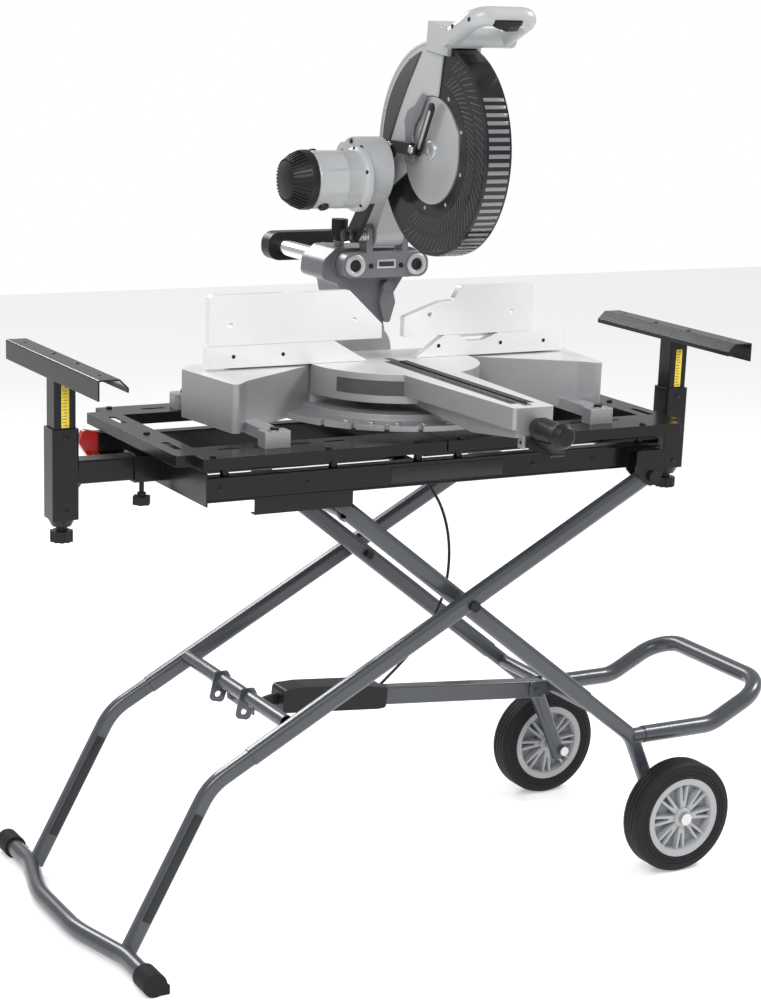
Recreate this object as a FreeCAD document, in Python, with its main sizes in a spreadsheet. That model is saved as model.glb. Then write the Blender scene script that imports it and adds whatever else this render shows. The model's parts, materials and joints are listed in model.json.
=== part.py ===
import FreeCAD, Part
import math
import os

from FreeCAD import Placement, Rotation, Vector

# Sliding compound mitre saw on a rolling scissor stand. Millimetres, +Z up, the floor at Z = 0.
# X runs along the stand's beam, -Y is the operator's side. Places are counted from the point on
# the floor under the scissor pivot; frame_x and frame_y move that point into the part's frame.

os.makedirs("parts", exist_ok=True)
doc = FreeCAD.newDocument("MitreSawOnStand")
sheet = doc.addObject("Spreadsheet::Sheet", "Dims")

SIZES = {
    # frame
    "frame_x": -12.5, "frame_y": 69.0,
    # scissor geometry
    "pivot_height": 535.0, "outer_arm": 393.0, "outer_angle": 29.8, "inner_angle": 38.0,
    "leg_tilt_offset": 0.9, "running_gap": 0.05, "washer_gap": 0.4,
    # leg tubes
    "leg_height": 30.0, "leg_width": 24.0, "leg_corner": 9.0, "leg_wall": 1.6, "sleeve_gap": 0.1,
    "outer_leg_y": 207.0, "inner_leg_y": 162.0, "outer_leg_tail": 452.0, "outer_leg_head": 20.0,
    "pivot_bolt_radius": 5.0,
    # feet
    "foot_tube_radius": 15.0, "foot_cap_radius": 20.0, "foot_cap_length": 44.0, "foot_half_span": 336.0,
    "foot_x": -617.0, "foot_bow": 33.0, "lower_bend_x": -470.0, "lower_bend_radius": 95.0,
    "cross_tube_radius": 12.0, "cross_tube_x": -330.0,
    # wheels
    "wheel_x": 444.0, "wheel_radius": 102.5, "rim_radius": 73.0, "tyre_width": 46.0, "wheel_y": 222.0,
    "axle_radius": 6.0, "hub_radius": 17.0, "hub_half": 25.0,
    # brace and handle loop
    "brace_height": 32.0, "brace_width": 25.0, "brace_pivot_x": 268.0, "brace_pivot_z": 296.0,
    "loop_radius": 15.5, "loop_reach": 690.0, "loop_socket_x": 401.0, "loop_z": 240.0, "loop_knee_x": 552.0,
    "loop_rise": 62.0, "brace_tilt": 4.8, "brace_length": 380.0, "grip_near": 318.0, "grip_far": 520.0,
    "grip_pawl_slot": 60.0, "gas_spring_y": 120.0, "cable_radius": 2.6, "cable_x": -28.0, "cable_y": 18.0,
    # beam
    "beam_left": -473.0, "beam_right": 372.0, "beam_top": 781.0, "rail_height": 40.0, "rail_width": 25.0,
    "beam_half_width": 190.0, "sheet_steel": 3.0, "carry_bar_radius": 7.0, "channel_left": -392.0,
    "channel_right": -218.0, "channel_drop": 25.0, "channel_wall": 2.0, "roller_radius": 7.2, "roller_width": 9.0,
    # trays
    "tray_top": 816.0, "tray_height": 18.0, "tray_left": -520.0, "tray_split": -59.0, "tray_right": 423.0,
    "front_tray_inner": -125.0, "front_tray_outer": -212.0, "rear_tray_inner": 160.0, "tray_sheet": 2.5,
    "rear_tray_outer": 232.0, "cross_plate_width": 50.0,
    # end supports
    "arm_height": 38.0, "arm_width": 38.0, "arm_wall": 2.5, "arm_centre_z": 765.0, "left_post_x": -640.0,
    "right_post_x": 531.0, "post_width": 44.0, "post_inner": 36.0, "post_bottom": 690.0, "post_top": 836.0,
    "head_top": 945.0, "head_length": 400.0, "head_width": 33.0, "head_flange": 32.0, "left_arm_start": -30.0,
    "right_arm_start": 10.0, "arm_gap": 0.4,
    # saw
    "saw_x": -40.0, "table_top": 910.0, "table_radius": 150.0, "table_depth": 48.0, "fence_y": 20.0, "arm_reach": 433.0,
    "blade_radius": 152.4, "blade_plate": 2.6, "blade_teeth": 60.0, "arbor_radius": 7.9, "blade_y": -130.0,
    "blade_z": 1270.0, "disc_radius": 84.0, "chop_shaft_radius": 8.0, "link_x": -84.0, "link_width": 9.0,
    "guard_radius": 170.0, "guard_wall": 3.0, "chop_y": 88.0, "chop_z": 1112.0, "rail_z": 1062.0,
    "rail_spread": 118.0, "slide_rail_radius": 14.0, "kerf_width": 16.0, "trunnion_radius": 50.0, "trunnion_face": 140.0,
    "bevel_pin_radius": 10.0, "bevel_lever_x": -6.0, "bevel_lever_z": 1022.0,
    "fence_split": 947.0, "fence_top": 1030.0, "support_front": 112.0, "support_depth": 80.0,
    "rail_shift": 15.0, "rail_rear": 380.0, "guard_half": 26.0,
    "motor_y": -28.0, "motor_z": 1217.0, "motor_radius": 46.0,
    "grip_y": -292.0, "grip_z": 1482.0, "grip_span": 125.0, "grip_radius": 15.0,
    "handle_depth": 76.0, "handle_drop": 34.0, "handle_tilt": 6.0,
}
for row, (alias, number) in enumerate(SIZES.items(), start=1):
    sheet.set(f"A{row}", alias)
    sheet.set(f"B{row}", str(number))
    sheet.setAlias(f"B{row}", alias)
doc.recompute()


class Size:
    """A number from the sheet with the expression that gives it, so objects stay bound to it."""

    def __init__(self, number, text):
        self.number = float(number)
        self.text = text

    def __float__(self):
        return self.number

    def combine(self, other, sign, number):
        other_text = other.text if isinstance(other, Size) else repr(float(other))
        return Size(number, f"({self.text} {sign} {other_text})")

    def __add__(self, other):
        return self.combine(other, "+", self.number + float(other))

    def __sub__(self, other):
        return self.combine(other, "-", self.number - float(other))

    def __mul__(self, other):
        return self.combine(other, "*", self.number * float(other))

    def __truediv__(self, other):
        return self.combine(other, "/", self.number / float(other))

    def __radd__(self, other):
        return float(other) + self.number

    def __rsub__(self, other):
        return float(other) - self.number

    def __rmul__(self, other):
        return float(other) * self.number

    def __neg__(self):
        return -self.number


class Sizes:
    def __getattr__(self, alias):
        return Size(getattr(sheet, alias), f"Dims.{alias}")


D = Sizes()
X_AXIS = Vector(1, 0, 0)
Y_AXIS = Vector(0, 1, 0)
Z_AXIS = Vector(0, 0, 1)
FLAT = Rotation()
FACE_Y = Rotation(X_AXIS, 90)
FACE_X = Rotation(Y_AXIS, Z_AXIS, X_AXIS, "ZXY")
ALONG_Y = Rotation(X_AXIS, -90)
ALONG_X = Rotation(Y_AXIS, 90)
nodes = []


def at(x, y, z):
    return Vector(float(x) + float(D.frame_x), float(y) + float(D.frame_y), float(z))


def bind(thing, name, amount):
    if isinstance(amount, Size):
        setattr(thing, name, amount.number)
        thing.setExpression(name, amount.text)
    else:
        setattr(thing, name, float(amount))


def block(name, extent, centre, turn=FLAT):
    """A box given by its three extents and the place of its centre."""
    box = doc.addObject("Part::Box", name)
    for side, amount in zip(("Length", "Width", "Height"), extent):
        bind(box, side, amount)
    half = Vector(*[float(amount) / 2 for amount in extent])
    box.Placement = Placement(centre, turn) * Placement(-half, FLAT)
    return box


def rod(name, radius, length, centre, turn=FLAT):
    """A cylinder centred on a point; its axis is local Z."""
    cylinder = doc.addObject("Part::Cylinder", name)
    bind(cylinder, "Radius", radius)
    bind(cylinder, "Height", length)
    cylinder.Placement = Placement(centre, turn) * Placement(Vector(0, 0, -float(length) / 2), FLAT)
    return cylinder


def fuse(name, *pieces):
    joined = doc.addObject("Part::MultiFuse", name)
    joined.Shapes = list(pieces)
    joined.Refine = True
    return joined


def cut(name, base, *tools):
    tool = tools[0] if len(tools) == 1 else fuse(name + "_tools", *tools)
    rest = doc.addObject("Part::Cut", name)
    rest.Base = base
    rest.Tool = tool
    rest.Refine = True
    return rest


def group(name, *pieces):
    together = doc.addObject("Part::Compound", name)
    together.Links = list(pieces)
    return together


def shaped(name, shape, placement=None):
    feature = doc.addObject("Part::Feature", name)
    feature.Shape = shape
    if placement is not None:
        feature.Placement = placement
    return feature


def node(name, thing):
    thing.Label = name
    nodes.append((name, thing))
    return thing


def outline_edges(points):
    """Line and arc geometry of a closed outline; a third value on a point rounds that corner."""
    count = len(points)
    starts, ends, arcs = [], [], []
    for index in range(count):
        here = Vector(points[index][0], points[index][1], 0)
        radius = points[index][2] if len(points[index]) > 2 else 0.0
        before = Vector(*points[index - 1][:2], 0)
        after = Vector(*points[(index + 1) % count][:2], 0)
        inward = (before - here).normalize()
        outward = (after - here).normalize()
        if radius <= 0:
            starts.append(here)
            ends.append(here)
            arcs.append(None)
            continue
        opening = inward.getAngle(outward)
        back = radius / math.tan(opening / 2)
        bisector = (inward + outward).normalize()
        centre = here + bisector * (radius / math.sin(opening / 2))
        starts.append(here + inward * back)
        ends.append(here + outward * back)
        arcs.append(Part.Arc(starts[-1], centre - bisector * radius, ends[-1]))
    edges = []
    for index in range(count):
        if arcs[index] is not None:
            edges.append(arcs[index])
        following = starts[(index + 1) % count]
        if (following - ends[index]).Length > 1e-6:
            edges.append(Part.LineSegment(ends[index], following))
    return edges


def origin_plane(body, role):
    return next(plane for plane in body.Origin.OriginFeatures if plane.Role == role)


def sketch_on(body, name, geometry):
    sketch = body.newObject("Sketcher::SketchObject", name + "_sketch")
    sketch.AttachmentSupport = [(origin_plane(body, "XY_Plane"), "")]
    sketch.MapMode = "FlatFace"
    sketch.addGeometry(geometry, False)
    return sketch


def plate(name, outline, thickness, centre, turn=FLAT, holes=(), cutouts=()):
    """A body padded both ways from a sketched outline, with round holes and shaped cut-outs."""
    body = doc.addObject("PartDesign::Body", name)
    geometry = outline_edges(outline)
    for cutout in cutouts:
        geometry += outline_edges(cutout)
    for u, v, radius in holes:
        geometry.append(Part.Circle(Vector(float(u), float(v), 0), Z_AXIS, float(radius)))
    pad = body.newObject("PartDesign::Pad", name + "_pad")
    pad.Profile = sketch_on(body, name, geometry)
    bind(pad, "Length", thickness)
    pad.SideType = "Symmetric"
    body.Placement = Placement(centre, turn)
    return body


def turned(name, outline, centre, turn=FLAT):
    """A body revolved about its local Y axis from an outline of (radius, height) points."""
    body = doc.addObject("PartDesign::Body", name)
    sketch = sketch_on(body, name, outline_edges(outline))
    revolution = body.newObject("PartDesign::Revolution", name + "_turning")
    revolution.Profile = sketch
    revolution.ReferenceAxis = (sketch, ["V_Axis"])
    revolution.Angle = 360.0
    body.Placement = Placement(centre, turn)
    return body


def rectangle(width, height, corner=0.0, u=0.0, v=0.0):
    half_u, half_v = float(width) / 2, float(height) / 2
    corners = ((-half_u, -half_v), (half_u, -half_v), (half_u, half_v), (-half_u, half_v))
    return [(u + corner_u, v + corner_v, float(corner)) for corner_u, corner_v in corners]


def bent_path(points, radii):
    """A wire of straight runs joined by tangent arcs, one radius for each inner point."""
    edges = []
    start = points[0]
    for here, after, radius in zip(points[1:-1], points[2:], radii):
        inward = (start - here).normalize()
        outward = (after - here).normalize()
        opening = inward.getAngle(outward)
        back = radius / math.tan(opening / 2)
        first, last = here + inward * back, here + outward * back
        bisector = (inward + outward).normalize()
        middle = here + bisector * (radius / math.sin(opening / 2) - radius)
        if (first - start).Length > 1e-6:
            edges.append(Part.LineSegment(start, first).toShape())
        edges.append(Part.Arc(first, middle, last).toShape())
        start = last
    if (points[-1] - start).Length > 1e-6:
        edges.append(Part.LineSegment(start, points[-1]).toShape())
    return Part.Wire(edges)


def pipe(name, points, radii, radius, wall=None):
    """A round tube swept along a bent path; solid where no wall is given."""
    wire = bent_path(points, radii)
    path = shaped(name + "_path", wire)
    path_edges = ["Edge%d" % (index + 1) for index in range(len(wire.Edges))]
    heading = Rotation(Z_AXIS, points[1] - points[0])

    def swept(label, amount):
        ring = doc.addObject("Part::Circle", label + "_ring")
        bind(ring, "Radius", amount)
        ring.Placement = Placement(points[0], heading)
        sweep = doc.addObject("Part::Sweep", label)
        sweep.Sections = [ring]
        sweep.Spine = (path, path_edges)
        sweep.Solid = True
        sweep.Frenet = False
        return sweep

    outer = swept(name, radius)
    if wall is None:
        return outer
    return cut(name + "_tube", outer, swept(name + "_bore", radius - wall))


def oval_section(height, width, corner):
    return Part.Wire([edge.toShape() for edge in outline_edges(rectangle(height, width, corner))])


def oval_pipe(name, wire, heading, height, width, corner, wall):
    """A flat-sided oval tube swept along a wire; heading turns the section's Z onto the path."""
    start = wire.OrderedVertexes[0].Point
    shapes = []
    for inset in (0.0, float(wall)):
        section = oval_section(height - 2 * inset, width - 2 * inset, corner - inset)
        section.Placement = Placement(start, heading)
        shapes.append(wire.makePipeShell([section], True, False))
    return shaped(name, shapes[0].cut(shapes[1]))


def leg_turn(degrees):
    """Turns local Z onto a leg that climbs at this angle in the XZ plane; local Y stays Y."""
    slope = math.radians(degrees)
    along = Vector(math.cos(slope), 0, math.sin(slope))
    across = Vector(math.sin(slope), 0, -math.cos(slope))
    return Rotation(across, Y_AXIS, along, "ZXY")


# ---- places that several pieces share ---------------------------------------------------------
outer_slope = math.radians(float(D.outer_angle))
inner_slope = math.radians(float(D.inner_angle))
rise = float(D.outer_arm) * math.sin(outer_slope)
top_x = float(D.outer_arm) * math.cos(outer_slope)
top_z = float(D.pivot_height) + rise
inner_arm = rise / math.sin(inner_slope)
roller_x = -inner_arm * math.cos(inner_slope)
tube_slope = float(D.outer_angle) - float(D.leg_tilt_offset)
beam_bottom = float(D.beam_top) - float(D.rail_height)
carriage_front = float(D.support_front) - 36
head_arm_x = float(D.saw_x) + float(D.rail_shift) + 2
head_arm_half = 26.0
SIDES = (("near", -1), ("far", 1))


def on_outer_leg(x):
    """Height of the outer leg tube's centre line."""
    return top_z + (x - top_x) * math.tan(math.radians(tube_slope))


# ---- outer leg frame: the feet, the lower legs and the upper leg tubes --------------------------
def outer_leg(name, side):
    turn = leg_turn(tube_slope)
    along = turn.multVec(Z_AXIS)
    length = D.outer_leg_tail + D.outer_arm + D.outer_leg_head
    middle = (float(D.outer_arm) + float(D.outer_leg_head) - float(length) / 2) - float(D.outer_arm)
    centre = at(top_x, side * D.outer_leg_y, top_z) + along * middle
    inner_height, inner_width = D.leg_height - 2 * D.leg_wall, D.leg_width - 2 * D.leg_wall
    tube = plate(name + "_tube", rectangle(D.leg_height, D.leg_width, D.leg_corner), length, centre, turn,
                 cutouts=[rectangle(inner_height, inner_width, D.leg_corner - float(D.leg_wall))])
    drill = float(D.pivot_bolt_radius) + float(D.running_gap)
    pivot = rod(name + "_pivot_hole", drill, 80, at(0, side * D.outer_leg_y, D.pivot_height), ALONG_Y)
    hinge = rod(name + "_hinge_hole", drill, 80, at(top_x, side * D.outer_leg_y, top_z), ALONG_Y)
    return node(name, cut(name, tube, pivot, hinge))


def foot_frame():
    slope = math.radians(tube_slope)
    along = Vector(math.cos(slope), 0, math.sin(slope))
    tail = Vector(top_x, 0, top_z) - along * (float(D.outer_arm) + float(D.outer_leg_tail) - 45)
    bend = Vector(float(D.lower_bend_x), 0, on_outer_leg(float(D.lower_bend_x)))
    ankle = Vector(float(D.foot_x) + 6, 0, float(D.foot_cap_radius))
    pieces = []
    for word, side in SIDES:
        points = [at(p.x, side * D.outer_leg_y, p.z) for p in (tail, bend, ankle)]
        heading = leg_turn(tube_slope)
        gap = 2 * float(D.sleeve_gap) + 2 * float(D.leg_wall)
        leg = oval_pipe("foot_leg_" + word, bent_path(points, [float(D.lower_bend_radius)]), heading,
                        D.leg_height - gap, D.leg_width - gap, D.leg_corner - gap / 2, D.leg_wall)
        pieces.append(leg)
    z = D.foot_cap_radius
    straight = float(D.outer_leg_y) + 12
    bow_x = D.foot_x - D.foot_bow
    points = [at(D.foot_x, -D.foot_half_span + 4, z), at(D.foot_x, -straight, z), at(bow_x, -85, z),
              at(bow_x, 85, z), at(D.foot_x, straight, z), at(D.foot_x, D.foot_half_span - 4, z)]
    bow = pipe("foot_bow", points, [160, 260, 260, 160], D.foot_tube_radius, D.leg_wall)
    core = pipe("foot_bow_core", points, [160, 260, 260, 160], D.foot_tube_radius - 0.05)
    legs = cut("foot_legs", group("foot_leg_pair", *pieces), core)
    return node("foot_frame", fuse("foot_frame", bow, legs))


def foot_caps():
    caps = []
    for word, side in SIDES:
        cup_y = side * (float(D.foot_half_span) - float(D.foot_cap_length) / 2)
        cup = rod("foot_cap_" + word, D.foot_cap_radius, D.foot_cap_length,
                  at(D.foot_x, cup_y, D.foot_cap_radius), ALONG_Y)
        socket_y = side * (float(D.foot_half_span) - 4 - 60)
        socket = rod("foot_socket_" + word, D.foot_tube_radius, 120,
                     at(D.foot_x, socket_y, D.foot_cap_radius), ALONG_Y)
        heel = block("foot_heel_" + word, (16, D.foot_cap_length - 6, 15),
                     at(D.foot_x + 18.0, cup_y, 7.5))
        caps.append(cut("foot_cup_" + word, fuse("foot_rubber_" + word, cup, heel), socket))
    return node("foot_caps", group("foot_caps", *caps))


def outer_cross_tube():
    x = float(D.cross_tube_x)
    z = on_outer_leg(x) + 8
    span = 2 * (float(D.outer_leg_y) - float(D.leg_width) / 2)
    bar = rod("cross_bar", D.cross_tube_radius, span, at(x, 0, z), ALONG_Y)
    bore = rod("cross_bore", D.cross_tube_radius - D.leg_wall, span + 2, at(x, 0, z), ALONG_Y)
    ears = []
    for word, y in (("near", -52.0), ("far", 52.0)):
        outline = [(-24, -34, 8), (2, -40, 8), (16, 4, 6), (10, 16, 5), (-14, 16, 5)]
        ears.append(plate("striker_" + word, outline, D.sheet_steel, at(x, y, z), FACE_Y, holes=[(-8, -24, 5.5)]))
    bridge = block("striker_bridge", (3, 104, 22), at(x + 10.5, 0, z - 22))
    return node("outer_cross_tube", cut("outer_cross_tube", fuse("cross_weldment", bar, *ears, bridge), bore))


def pivot_bolts():
    """Scissor bolts and beam hinge bolts: a shank through the leg, a round head and a locknut."""
    bolts = []
    leg_half = float(D.leg_width) / 2
    for word, side in SIDES:
        inner_face = float(D.inner_leg_y) - leg_half
        outer_face = float(D.outer_leg_y) + leg_half
        for place_word, x, z, low in (("scissor", 0.0, D.pivot_height, inner_face - 9.0),
                                      ("hinge", top_x, top_z, outer_face - 32.0)):
            high = outer_face + (4.6 if place_word == "hinge" else 0.3)
            shank = rod("%s_shank_%s" % (place_word, word), D.pivot_bolt_radius, high - low,
                        at(x, side * (high + low) / 2, z), ALONG_Y)
            head = rod("%s_head_%s" % (place_word, word), 9.5, 6, at(x, side * (high + 3), z), ALONG_Y)
            nut_y = low + 3.5 if place_word == "scissor" else low - 3.0
            nut = plate("%s_nut_%s" % (place_word, word), hexagon(8.5), 6.0, at(x, side * nut_y, z), FACE_Y)
            bolts.append(fuse("%s_bolt_%s" % (place_word, word), shank, head, nut))
    return node("pivot_bolts", group("pivot_bolts", *bolts))


def hexagon(radius):
    return [(radius * math.cos(math.radians(60 * k)), radius * math.sin(math.radians(60 * k))) for k in range(6)]


# ---- inner leg frame: the wheel side -----------------------------------------------------------
def inner_point(distance):
    """A point on the inner leg's line; positive distance runs up towards the roller."""
    return Vector(-distance * math.cos(inner_slope), 0, float(D.pivot_height) + distance * math.sin(inner_slope))


def inner_leg(name, side):
    turn = leg_turn(180 - float(D.inner_angle))
    head, tail = inner_arm - 46.0, -345.0
    middle = inner_point((head + tail) / 2)
    centre = at(middle.x, side * D.inner_leg_y, middle.z)
    length = head - tail
    inner_height, inner_width = D.leg_height - 2 * D.leg_wall, D.leg_width - 2 * D.leg_wall
    tube = plate(name + "_tube", rectangle(D.leg_height, D.leg_width, D.leg_corner), length, centre, turn,
                 cutouts=[rectangle(inner_height, inner_width, D.leg_corner - float(D.leg_wall))])
    strap_y = side * (float(D.inner_leg_y) + float(D.leg_width) / 2 - 2.0)
    strap_middle = inner_point(inner_arm - 35.0)
    strap_outline = [(-9, -45, 3), (9, -45, 3), (9, 43, 8), (-9, 43, 8)]
    strap = plate(name + "_strap", strap_outline, 4.0, at(strap_middle.x, strap_y, strap_middle.z),
                  turn * Rotation(X_AXIS, 90))
    drill = float(D.pivot_bolt_radius) + float(D.running_gap)
    pivot = rod(name + "_pivot_hole", drill, 80, at(0, side * D.inner_leg_y, D.pivot_height), ALONG_Y)
    bushing_y = side * (float(D.inner_leg_y) + float(D.outer_leg_y)) / 2
    gap_width = float(D.outer_leg_y) - float(D.inner_leg_y) - float(D.leg_width) - 2 * float(D.washer_gap)
    bushing = rod(name + "_bushing", 10.0, gap_width + float(D.washer_gap),
                  at(0, bushing_y - side * float(D.washer_gap) / 2, D.pivot_height), ALONG_Y)
    stub_y = side * (float(D.inner_leg_y) + float(D.leg_width) / 2 + 4.5)
    end = inner_point(inner_arm)
    stub = rod(name + "_stub", 4.0, 15.0, at(end.x, stub_y, end.z), ALONG_Y)
    return node(name, cut(name, fuse(name + "_weldment", tube, strap, bushing, stub), pivot))



def tube_between(name, radius, x, z, span):
    """A hollow round cross tube along Y."""
    bar = rod(name + "_bar", radius, span, at(x, 0, z), ALONG_Y)
    bore = rod(name + "_bore", radius - D.leg_wall, span + 2, at(x, 0, z), ALONG_Y)
    return cut(name, bar, bore)


def inner_cross_tube():
    """The inner frame's cross tubes: by the rollers, at the scissor pivots and above the wheels."""
    span = 2 * (float(D.inner_leg_y) - float(D.leg_width) / 2)
    upper = inner_point(inner_arm - 72.0)
    lower = inner_point(-382.0)
    upper_bar = tube_between("upper_cross", D.cross_tube_radius - 2, upper.x, upper.z, span)
    lower_span = span + 2 * (float(D.sleeve_gap) + float(D.leg_wall))
    lower_bar = tube_between("lower_cross", D.cross_tube_radius, lower.x, lower.z, lower_span)
    pieces = [upper_bar, lower_bar]
    pivot_x, pivot_z = float(D.brace_pivot_x), float(D.brace_pivot_z)
    for word, side in SIDES:
        y = side * (float(D.brace_width) / 2 + float(D.washer_gap) + float(D.sheet_steel) / 2)
        lug = [(pivot_x - 16, pivot_z - 14, 9), (lower.x - 4, lower.z - 12, 3),
               (lower.x - 4, lower.z + 12, 3), (pivot_x - 16, pivot_z + 16, 9)]
        hole = [(pivot_x, pivot_z, float(D.pivot_bolt_radius))]
        pieces.append(plate("brace_lug_" + word, lug, D.sheet_steel, at(0, y, 0), FACE_Y, holes=hole))
    pin_span = float(D.brace_width) + 2 * float(D.washer_gap) + 2 * float(D.sheet_steel) + 8
    pin = rod("brace_pin", D.pivot_bolt_radius, pin_span, at(pivot_x, 0, pivot_z), ALONG_Y)
    weldment = fuse("lower_weldment", *pieces[1:], pin)
    return node("inner_cross_tubes", group("inner_cross_tubes", upper_bar, weldment))


def wheel_legs():
    """Bent oval tubes that slip into the inner legs and carry the wheel axles."""
    gap = 2 * float(D.sleeve_gap) + 2 * float(D.leg_wall)
    legs = []
    for word, side in SIDES:
        start = inner_point(-300.0)
        bend = inner_point(-478.0)
        foot = Vector(float(D.wheel_x), 0, float(D.wheel_radius) - 14)
        points = [at(p.x, side * D.inner_leg_y, p.z) for p in (start, bend, foot)]
        tube = oval_pipe("wheel_tube_" + word, bent_path(points, [70.0]), leg_turn(-float(D.inner_angle)),
                         D.leg_height - gap, D.leg_width - gap, D.leg_corner - gap / 2, D.leg_wall)
        boss = rod("axle_boss_" + word, 13.0, D.leg_width - gap, at(D.wheel_x - 4.0, side * D.inner_leg_y, D.wheel_radius), ALONG_Y)
        bore = rod("axle_bore_" + word, D.axle_radius, 60, at(D.wheel_x, side * D.inner_leg_y, D.wheel_radius), ALONG_Y)
        spigot_x = float(D.loop_socket_x)
        spigot = rod("loop_spigot_" + word, D.loop_radius - D.leg_wall - 0.1, 62.0,
                     at(spigot_x + 6, side * D.inner_leg_y, D.loop_z), ALONG_X)
        legs.append(cut("wheel_leg_" + word, fuse("wheel_leg_blank_" + word, tube, boss, spigot), bore))
    return node("wheel_legs", group("wheel_legs", *legs))


def handle_loop():
    """The rear push loop: out from the wheel legs, up, and across."""
    y = D.inner_leg_y
    low, high = float(D.loop_z), float(D.loop_z) + float(D.loop_rise)
    start, knee, corner = D.loop_socket_x, D.loop_knee_x, D.loop_reach - D.loop_radius
    points = [at(start, -y, low), at(knee, -y, low), at(corner, -y, high),
              at(corner, y, high), at(knee, y, low), at(start, y, low)]
    return node("handle_loop", pipe("handle_loop", points, [75, 60, 60, 75], D.loop_radius, D.leg_wall))


def wheel_axles():
    axles = []
    inner = float(D.inner_leg_y) - float(D.leg_width) / 2 - 1.0
    outer = float(D.wheel_y) + float(D.hub_half) + float(D.washer_gap)
    for word, side in SIDES:
        shank = rod("axle_shank_" + word, D.axle_radius, outer - inner,
                    at(D.wheel_x, side * (outer + inner) / 2, D.wheel_radius), ALONG_Y)
        spacer_high = float(D.wheel_y) - float(D.hub_half) - float(D.washer_gap)
        spacer_low = float(D.inner_leg_y) + 12.6
        spacer = rod("axle_spacer_" + word, 10.0, spacer_high - spacer_low,
                     at(D.wheel_x, side * (spacer_high + spacer_low) / 2, D.wheel_radius), ALONG_Y)
        head = rod("axle_head_" + word, 9.0, 6.0, at(D.wheel_x, side * (inner - 3.0), D.wheel_radius), ALONG_Y)
        cap = rod("axle_cap_" + word, 11.0, 7.0, at(D.wheel_x, side * (outer + 3.5), D.wheel_radius), ALONG_Y)
        axles.append(fuse("axle_" + word, shank, spacer, head, cap))
    return node("wheel_axles", group("wheel_axles", *axles))


def tyre(name, side):
    half = float(D.tyre_width) / 2
    outer, inner = float(D.wheel_radius), float(D.rim_radius)
    groove = 2.0
    outline = [(inner, -half + 3, 2), (inner + 12, -half, 3), (outer - 3, -half + 7, 6)]
    for centre in (-8.0, 0.0, 8.0):
        outline += [(outer, centre - 1.6), (outer - groove, centre - 1.2), (outer - groove, centre + 1.2),
                    (outer, centre + 1.6)]
    outline += [(outer - 3, half - 7, 6), (inner + 12, half, 3), (inner, half - 3, 2)]
    return node(name, turned(name, outline, at(D.wheel_x, side * D.wheel_y, D.wheel_radius)))


def hub(name, side):
    """A spoked hub: rim, web, boss and eight ribs; the outer side is the same on both wheels."""
    half = float(D.tyre_width) / 2 - 3.2
    rim, hub_half = float(D.rim_radius) - 0.05, float(D.hub_half)
    bore = float(D.axle_radius) + float(D.running_gap)
    boss = float(D.hub_radius)
    outline = [(bore, -hub_half), (boss, -hub_half), (boss, -3.5), (rim - 6, -3.5), (rim - 6, -half),
               (rim, -half), (rim, half), (rim - 6, half), (rim - 6, 3.5), (boss, 3.5), (boss, hub_half),
               (bore, hub_half)]
    centre = at(D.wheel_x, side * D.wheel_y, D.wheel_radius)
    blank = turned(name + "_turned", outline, centre)
    ribs = []
    for index in range(8):
        turn = Rotation(Y_AXIS, 45.0 * index + 22.5)
        middle = (boss + rim - 4) / 2
        ribs.append(block("%s_rib_%d" % (name, index), (rim - boss - 2, 2 * half - 8, 6.0),
                          centre + turn.multVec(Vector(middle, 0, 0)), turn))
    return node(name, fuse(name, blank, *ribs))


def track_rollers():
    """The rollers on the inner legs' upper ends, running in the channels under the beam."""
    end = inner_point(inner_arm)
    rollers = []
    for word, side in SIDES:
        y = side * (float(D.inner_leg_y) + float(D.leg_width) / 2 + 7.6)
        wheel = rod("roller_" + word, D.roller_radius, D.roller_width, at(end.x, y, end.z), ALONG_Y)
        bore = rod("roller_bore_" + word, 4.0 + float(D.running_gap), 40, at(end.x, y, end.z), ALONG_Y)
        rollers.append(cut("roller_ring_" + word, wheel, bore))
    return node("track_rollers", group("track_rollers", *rollers))


# ---- brace and gas spring ----------------------------------------------------------------------
def brace_turn():
    return Rotation(Y_AXIS, float(D.brace_tilt))


def on_brace(distance, side_y, lift):
    """A point counted from the brace pivot along the brace, across it and above it."""
    local = brace_turn().multVec(Vector(-distance, side_y, lift))
    return at(D.brace_pivot_x, 0, D.brace_pivot_z) + local


def brace_tube():
    turn = brace_turn() * FACE_X
    length = D.brace_length
    width, height = D.brace_width, D.brace_height
    walls = rectangle(width - 2 * D.leg_wall, height - 2 * D.leg_wall, 1.5)
    tube = plate("brace_section", rectangle(width, height, 3.0), length,
                 on_brace(float(length) / 2 - 14, 0, 0), turn, cutouts=[walls])
    hole = rod("brace_hole", D.pivot_bolt_radius + D.running_gap, 60, on_brace(0, 0, 0), ALONG_Y)
    return node("brace_tube", cut("brace_tube", tube, hole))


def brace_grip():
    """The moulded latch housing on the brace's free end, with a slot for the pawl."""
    near, far = float(D.grip_near), float(D.grip_far)
    outline = [(-near, -17, 5), (-near - 14, -19, 6), (-far, -19, 6), (-far, 22, 8), (-far + 40, 26, 12),
               (-near - 60, 26, 20), (-near, 19, 6)]
    body = plate("grip_body", outline, 48.0, on_brace(0, 0, 0), brace_turn() * FACE_Y)
    bore_length = float(D.brace_length) - near - 14 + 0.1
    bore = block("grip_bore", (bore_length + 20, D.brace_width + 0.1, D.brace_height + 0.1),
                 on_brace(near + bore_length / 2 - 10, 0, 0), brace_turn())
    slot_length = float(D.grip_pawl_slot)
    slot = block("grip_slot", (slot_length + 20, 9.0, 20.0), on_brace(far - slot_length / 2 + 10, 0, 0), brace_turn())
    return node("brace_grip", cut("brace_grip", body, bore, slot))


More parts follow.
